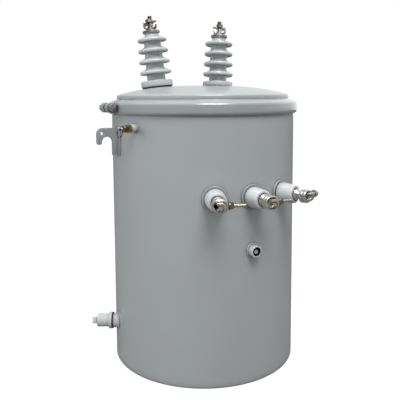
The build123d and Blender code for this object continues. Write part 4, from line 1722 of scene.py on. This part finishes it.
@dataclass
class DrainFitting:
    """The drain coupling, set at a slant in the wall, with its gasket and square-ended valve."""

    tank: Tank
    azimuth: float = -99.0
    skew: float = -19.8
    height: float = 108.8
    boss_radius: float = 19.5
    boss: float = 12.2
    weld: float = 2.6
    gasket: float = 3.0
    flange_radius: float = 22.5
    flange: float = 8.7
    body_radius: float = 17.4
    body: float = 32.2
    square: float = 16.7
    square_turn: float = 28.0
    square_length: float = 14.0

    def build(self) -> None:
        """Builds and dresses the fitting."""
        upright = wall_seat(self.tank.radius, self.azimuth, self.height)
        seat = turned(upright, "Y", self.skew)
        boss = rod("boss", self.boss_radius, -9, self.boss, seat, 80, 1.0, 30)
        inside = rod("inside", self.tank.radius - 1.0, 0, 2 * self.height, segments=self.tank.segments)
        weld = ring_bead("weld", self.boss_radius + 1.0, self.weld, moved(upright, z=0.4))
        settle(join("drain_socket", [cut(boss, inside), weld]), LIT_FITTING_PAINT, "drain_boss", sharp=40)
        dress(frame["nodes"]["drain_gasket"], RUBBER)
        start = self.boss + self.gasket
        middle = start + self.flange
        end = middle + self.body
        profile = [
            (0, start), (self.flange_radius, start, 1.0), (self.flange_radius, middle, 2.4),
            (self.body_radius, middle, 1.2), (self.body_radius, end, 2.5), (0, end),
        ]
        body = lathe("valve", profile, seat, 80)
        half = self.square / 2
        outline = [(-half, -half), (half, -half), (half, half), (-half, half)]
        place = turned(moved(seat, z=end + self.square_length / 2 - 0.5), "Z", self.square_turn)
        head = ease(extruded("square", outline, self.square_length + 1, place), 1.6, 3)
        settle(join("drain_body", [body, head]), LIT_FITTING_PAINT, "drain_valve", sharp=40)


# ---- studio ------------------------------------------------------------------------------------
@dataclass
class Studio:
    """The pale floor, the white backdrop, the lights and the camera."""

    camera_place: tuple[float, float, float] = (-0.747653, -1.359975, 0.727964)
    camera_turn: tuple[float, float, float] = (84.1699, 0.3581, -28.2076)
    lens: float = 49.104
    shift: tuple[float, float] = (0.0081, -0.1193)
    sky: tuple[float, float] = (0.74, 1.1)
    front_gloss: float = 0.3
    left_gloss: float = 0.3
    floor_tone: float = 0.17
    floor_glow: float = 0.87
    floor_radius: float = 14.0
    floor_drop: float = 0.0005
    behind: tuple[float, float, float] = (0.48, 0.87, 0.0)
    right: tuple[float, float, float] = (0.87, -0.48, 0.0)
    aim: tuple[float, float, float] = (0.0, 0.0, 0.45)

    def build(self) -> None:
        """Sets the whole studio up."""
        scene = bpy.context.scene
        scene.view_settings.view_transform = "Standard"
        self.camera(scene)
        self.world(scene)
        self.floor()
        self.light("key_softbox", (-0.53, -2.74, 4.6), 2.6, 215.0, glare=True)
        self.light("fill_softbox", (-4.32, 0.61, 1.54), 2.2, 72.0, glare=False)

    def camera(self, scene: bpy.types.Scene) -> None:
        """Places the camera.

        Args:
            scene: The scene that it is for.
        """
        data = bpy.data.cameras.new("camera")
        camera = bpy.data.objects.new("camera", data)
        scene.collection.objects.link(camera)
        camera.location = self.camera_place
        camera.rotation_euler = [math.radians(angle) for angle in self.camera_turn]
        data.lens, data.sensor_width = self.lens, 36.0
        data.shift_x, data.shift_y = self.shift
        scene.camera = camera

    def world(self, scene: bpy.types.Scene) -> None:
        """A backdrop and a room round the object.

        The camera and glass see plain white. Plain surfaces are lit a little more from behind than
        from in front. Mirror images are white behind, to the right and overhead, and dim in front
        and to the left.

        Args:
            scene: The scene that it is for.
        """
        world = bpy.data.worlds.new("backdrop")
        world.use_nodes = True
        scene.world = world
        graph = Graph(world.node_tree)
        path, ray = graph.add("LightPath").outputs, graph.add("TexCoord").outputs["Generated"]
        depth = graph.dot(ray, self.behind)
        ahead = graph.ramp(depth, -0.4, 0.4, self.front_gloss, 1.0)
        right = graph.ramp(graph.dot(ray, self.right), -0.6, 0.3, self.left_gloss, 1.0)
        above = graph.ramp(graph.add("SeparateXYZ", {0: ray}).outputs["Z"], 0.5, 0.75)
        gloss = graph.math("MAXIMUM", graph.math("MULTIPLY", ahead, right), above)
        room, mirrored, white = (
            graph.add("Background", {"Color": (1, 1, 1, 1), "Strength": strength}).outputs[0]
            for strength in (graph.ramp(depth, 0.0, 0.9, *self.sky), gloss, 1.0)
        )
        mixed = graph.add("MixShader", {0: path["Is Glossy Ray"], 1: room, 2: mirrored}).outputs[0]
        seen = graph.math("MAXIMUM", path["Is Camera Ray"], path["Is Transmission Ray"])
        mixed = graph.add("MixShader", {0: seen, 1: mixed, 2: white}).outputs[0]
        graph.add("OutputWorld", {"Surface": mixed})

    def floor(self) -> None:
        """A pale floor that is white to the camera and keeps the object's shadow."""
        pick()
        bpy.ops.mesh.primitive_circle_add(
            vertices=96, radius=self.floor_radius, fill_type="NGON", location=(0, 0, -self.floor_drop)
        )
        floor = bpy.context.object
        floor.name = "floor"
        made = bpy.data.materials.new("studio_floor")
        made.use_nodes = True
        graph = Graph(made.node_tree)
        speckle = effect(graph, "clouds", scale=3.0, low=0.2, high=0.8)
        dark, pale = ((tone, tone, tone, 1) for tone in (self.floor_tone, self.floor_tone + 0.02))
        surface = graph.add("BsdfDiffuse", {"Color": graph.mix(speckle, dark, pale)})
        path = graph.add("LightPath").outputs
        seen = graph.math("MAXIMUM", path["Is Camera Ray"], path["Is Transmission Ray"])
        glow = graph.math("MULTIPLY", seen, self.floor_glow)
        light = graph.add("Emission", {"Color": (1, 1, 1, 1), "Strength": glow})
        total = graph.add("AddShader", {0: surface.outputs[0], 1: light.outputs[0]})
        graph.add("OutputMaterial", {"Surface": total.outputs[0]})
        floor.data.materials.append(made)

    def light(
        self, name: str, place: tuple[float, float, float], size: float, power: float, glare: bool
    ) -> None:
        """Adds a large soft light that faces the object's middle, with or without a mirror image.

        Args:
            name: The lamp's name.
            place: Where it hangs, in metres.
            size: How wide it is, in metres.
            power: Its power in watts.
            glare: Whether gloss shows its mirror image.
        """
        data = bpy.data.lights.new(name, "AREA")
        data.shape, data.size, data.energy = "DISK", size, power
        lamp = bpy.data.objects.new(name, data)
        bpy.context.scene.collection.objects.link(lamp)
        lamp.location = place
        lamp.visible_glossy = glare
        lamp.rotation_euler = (Vector(self.aim) - Vector(place)).to_track_quat("-Z", "Y").to_euler()


def main() -> None:
    """Builds the object piece by piece and the studio round it."""
    logging.basicConfig(level=logging.INFO, format="%(name)s: %(message)s")
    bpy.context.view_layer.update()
    tank = Tank()
    parts = [
        tank,
        CoverClamp(tank),
        LiftingHook(tank, Side.LEFT),
        LiftingHook(tank, Side.RIGHT),
        SupportLug(tank, "upper"),
        SupportLug(tank, "lower"),
        HighVoltageBushing(tank, Side.LEFT, azimuth=-130.8, turn=0.0, tilt=4.0, gasket=2.4, flange=18.6),
        HighVoltageBushing(tank, Side.RIGHT, azimuth=130.8, turn=-75.0, tilt=1.0, gasket=2.2, flange=15.5),
        LowVoltageBushing(tank, Side.LEFT, azimuth=-22.3, backed_off=1.0),
        LowVoltageBushing(tank, Side.CENTRE, azimuth=0.0, backed_off=1.0),
        LowVoltageBushing(tank, Side.RIGHT, azimuth=22.3, backed_off=25.0),
        ReliefValve(tank),
        GroundBoss(tank),
        DrainFitting(tank),
        Studio(),
    ]
    for part in parts:
        part.build()
        log.info("built %s", type(part).__name__)
    pick()


if __name__ == "__main__":
    main()
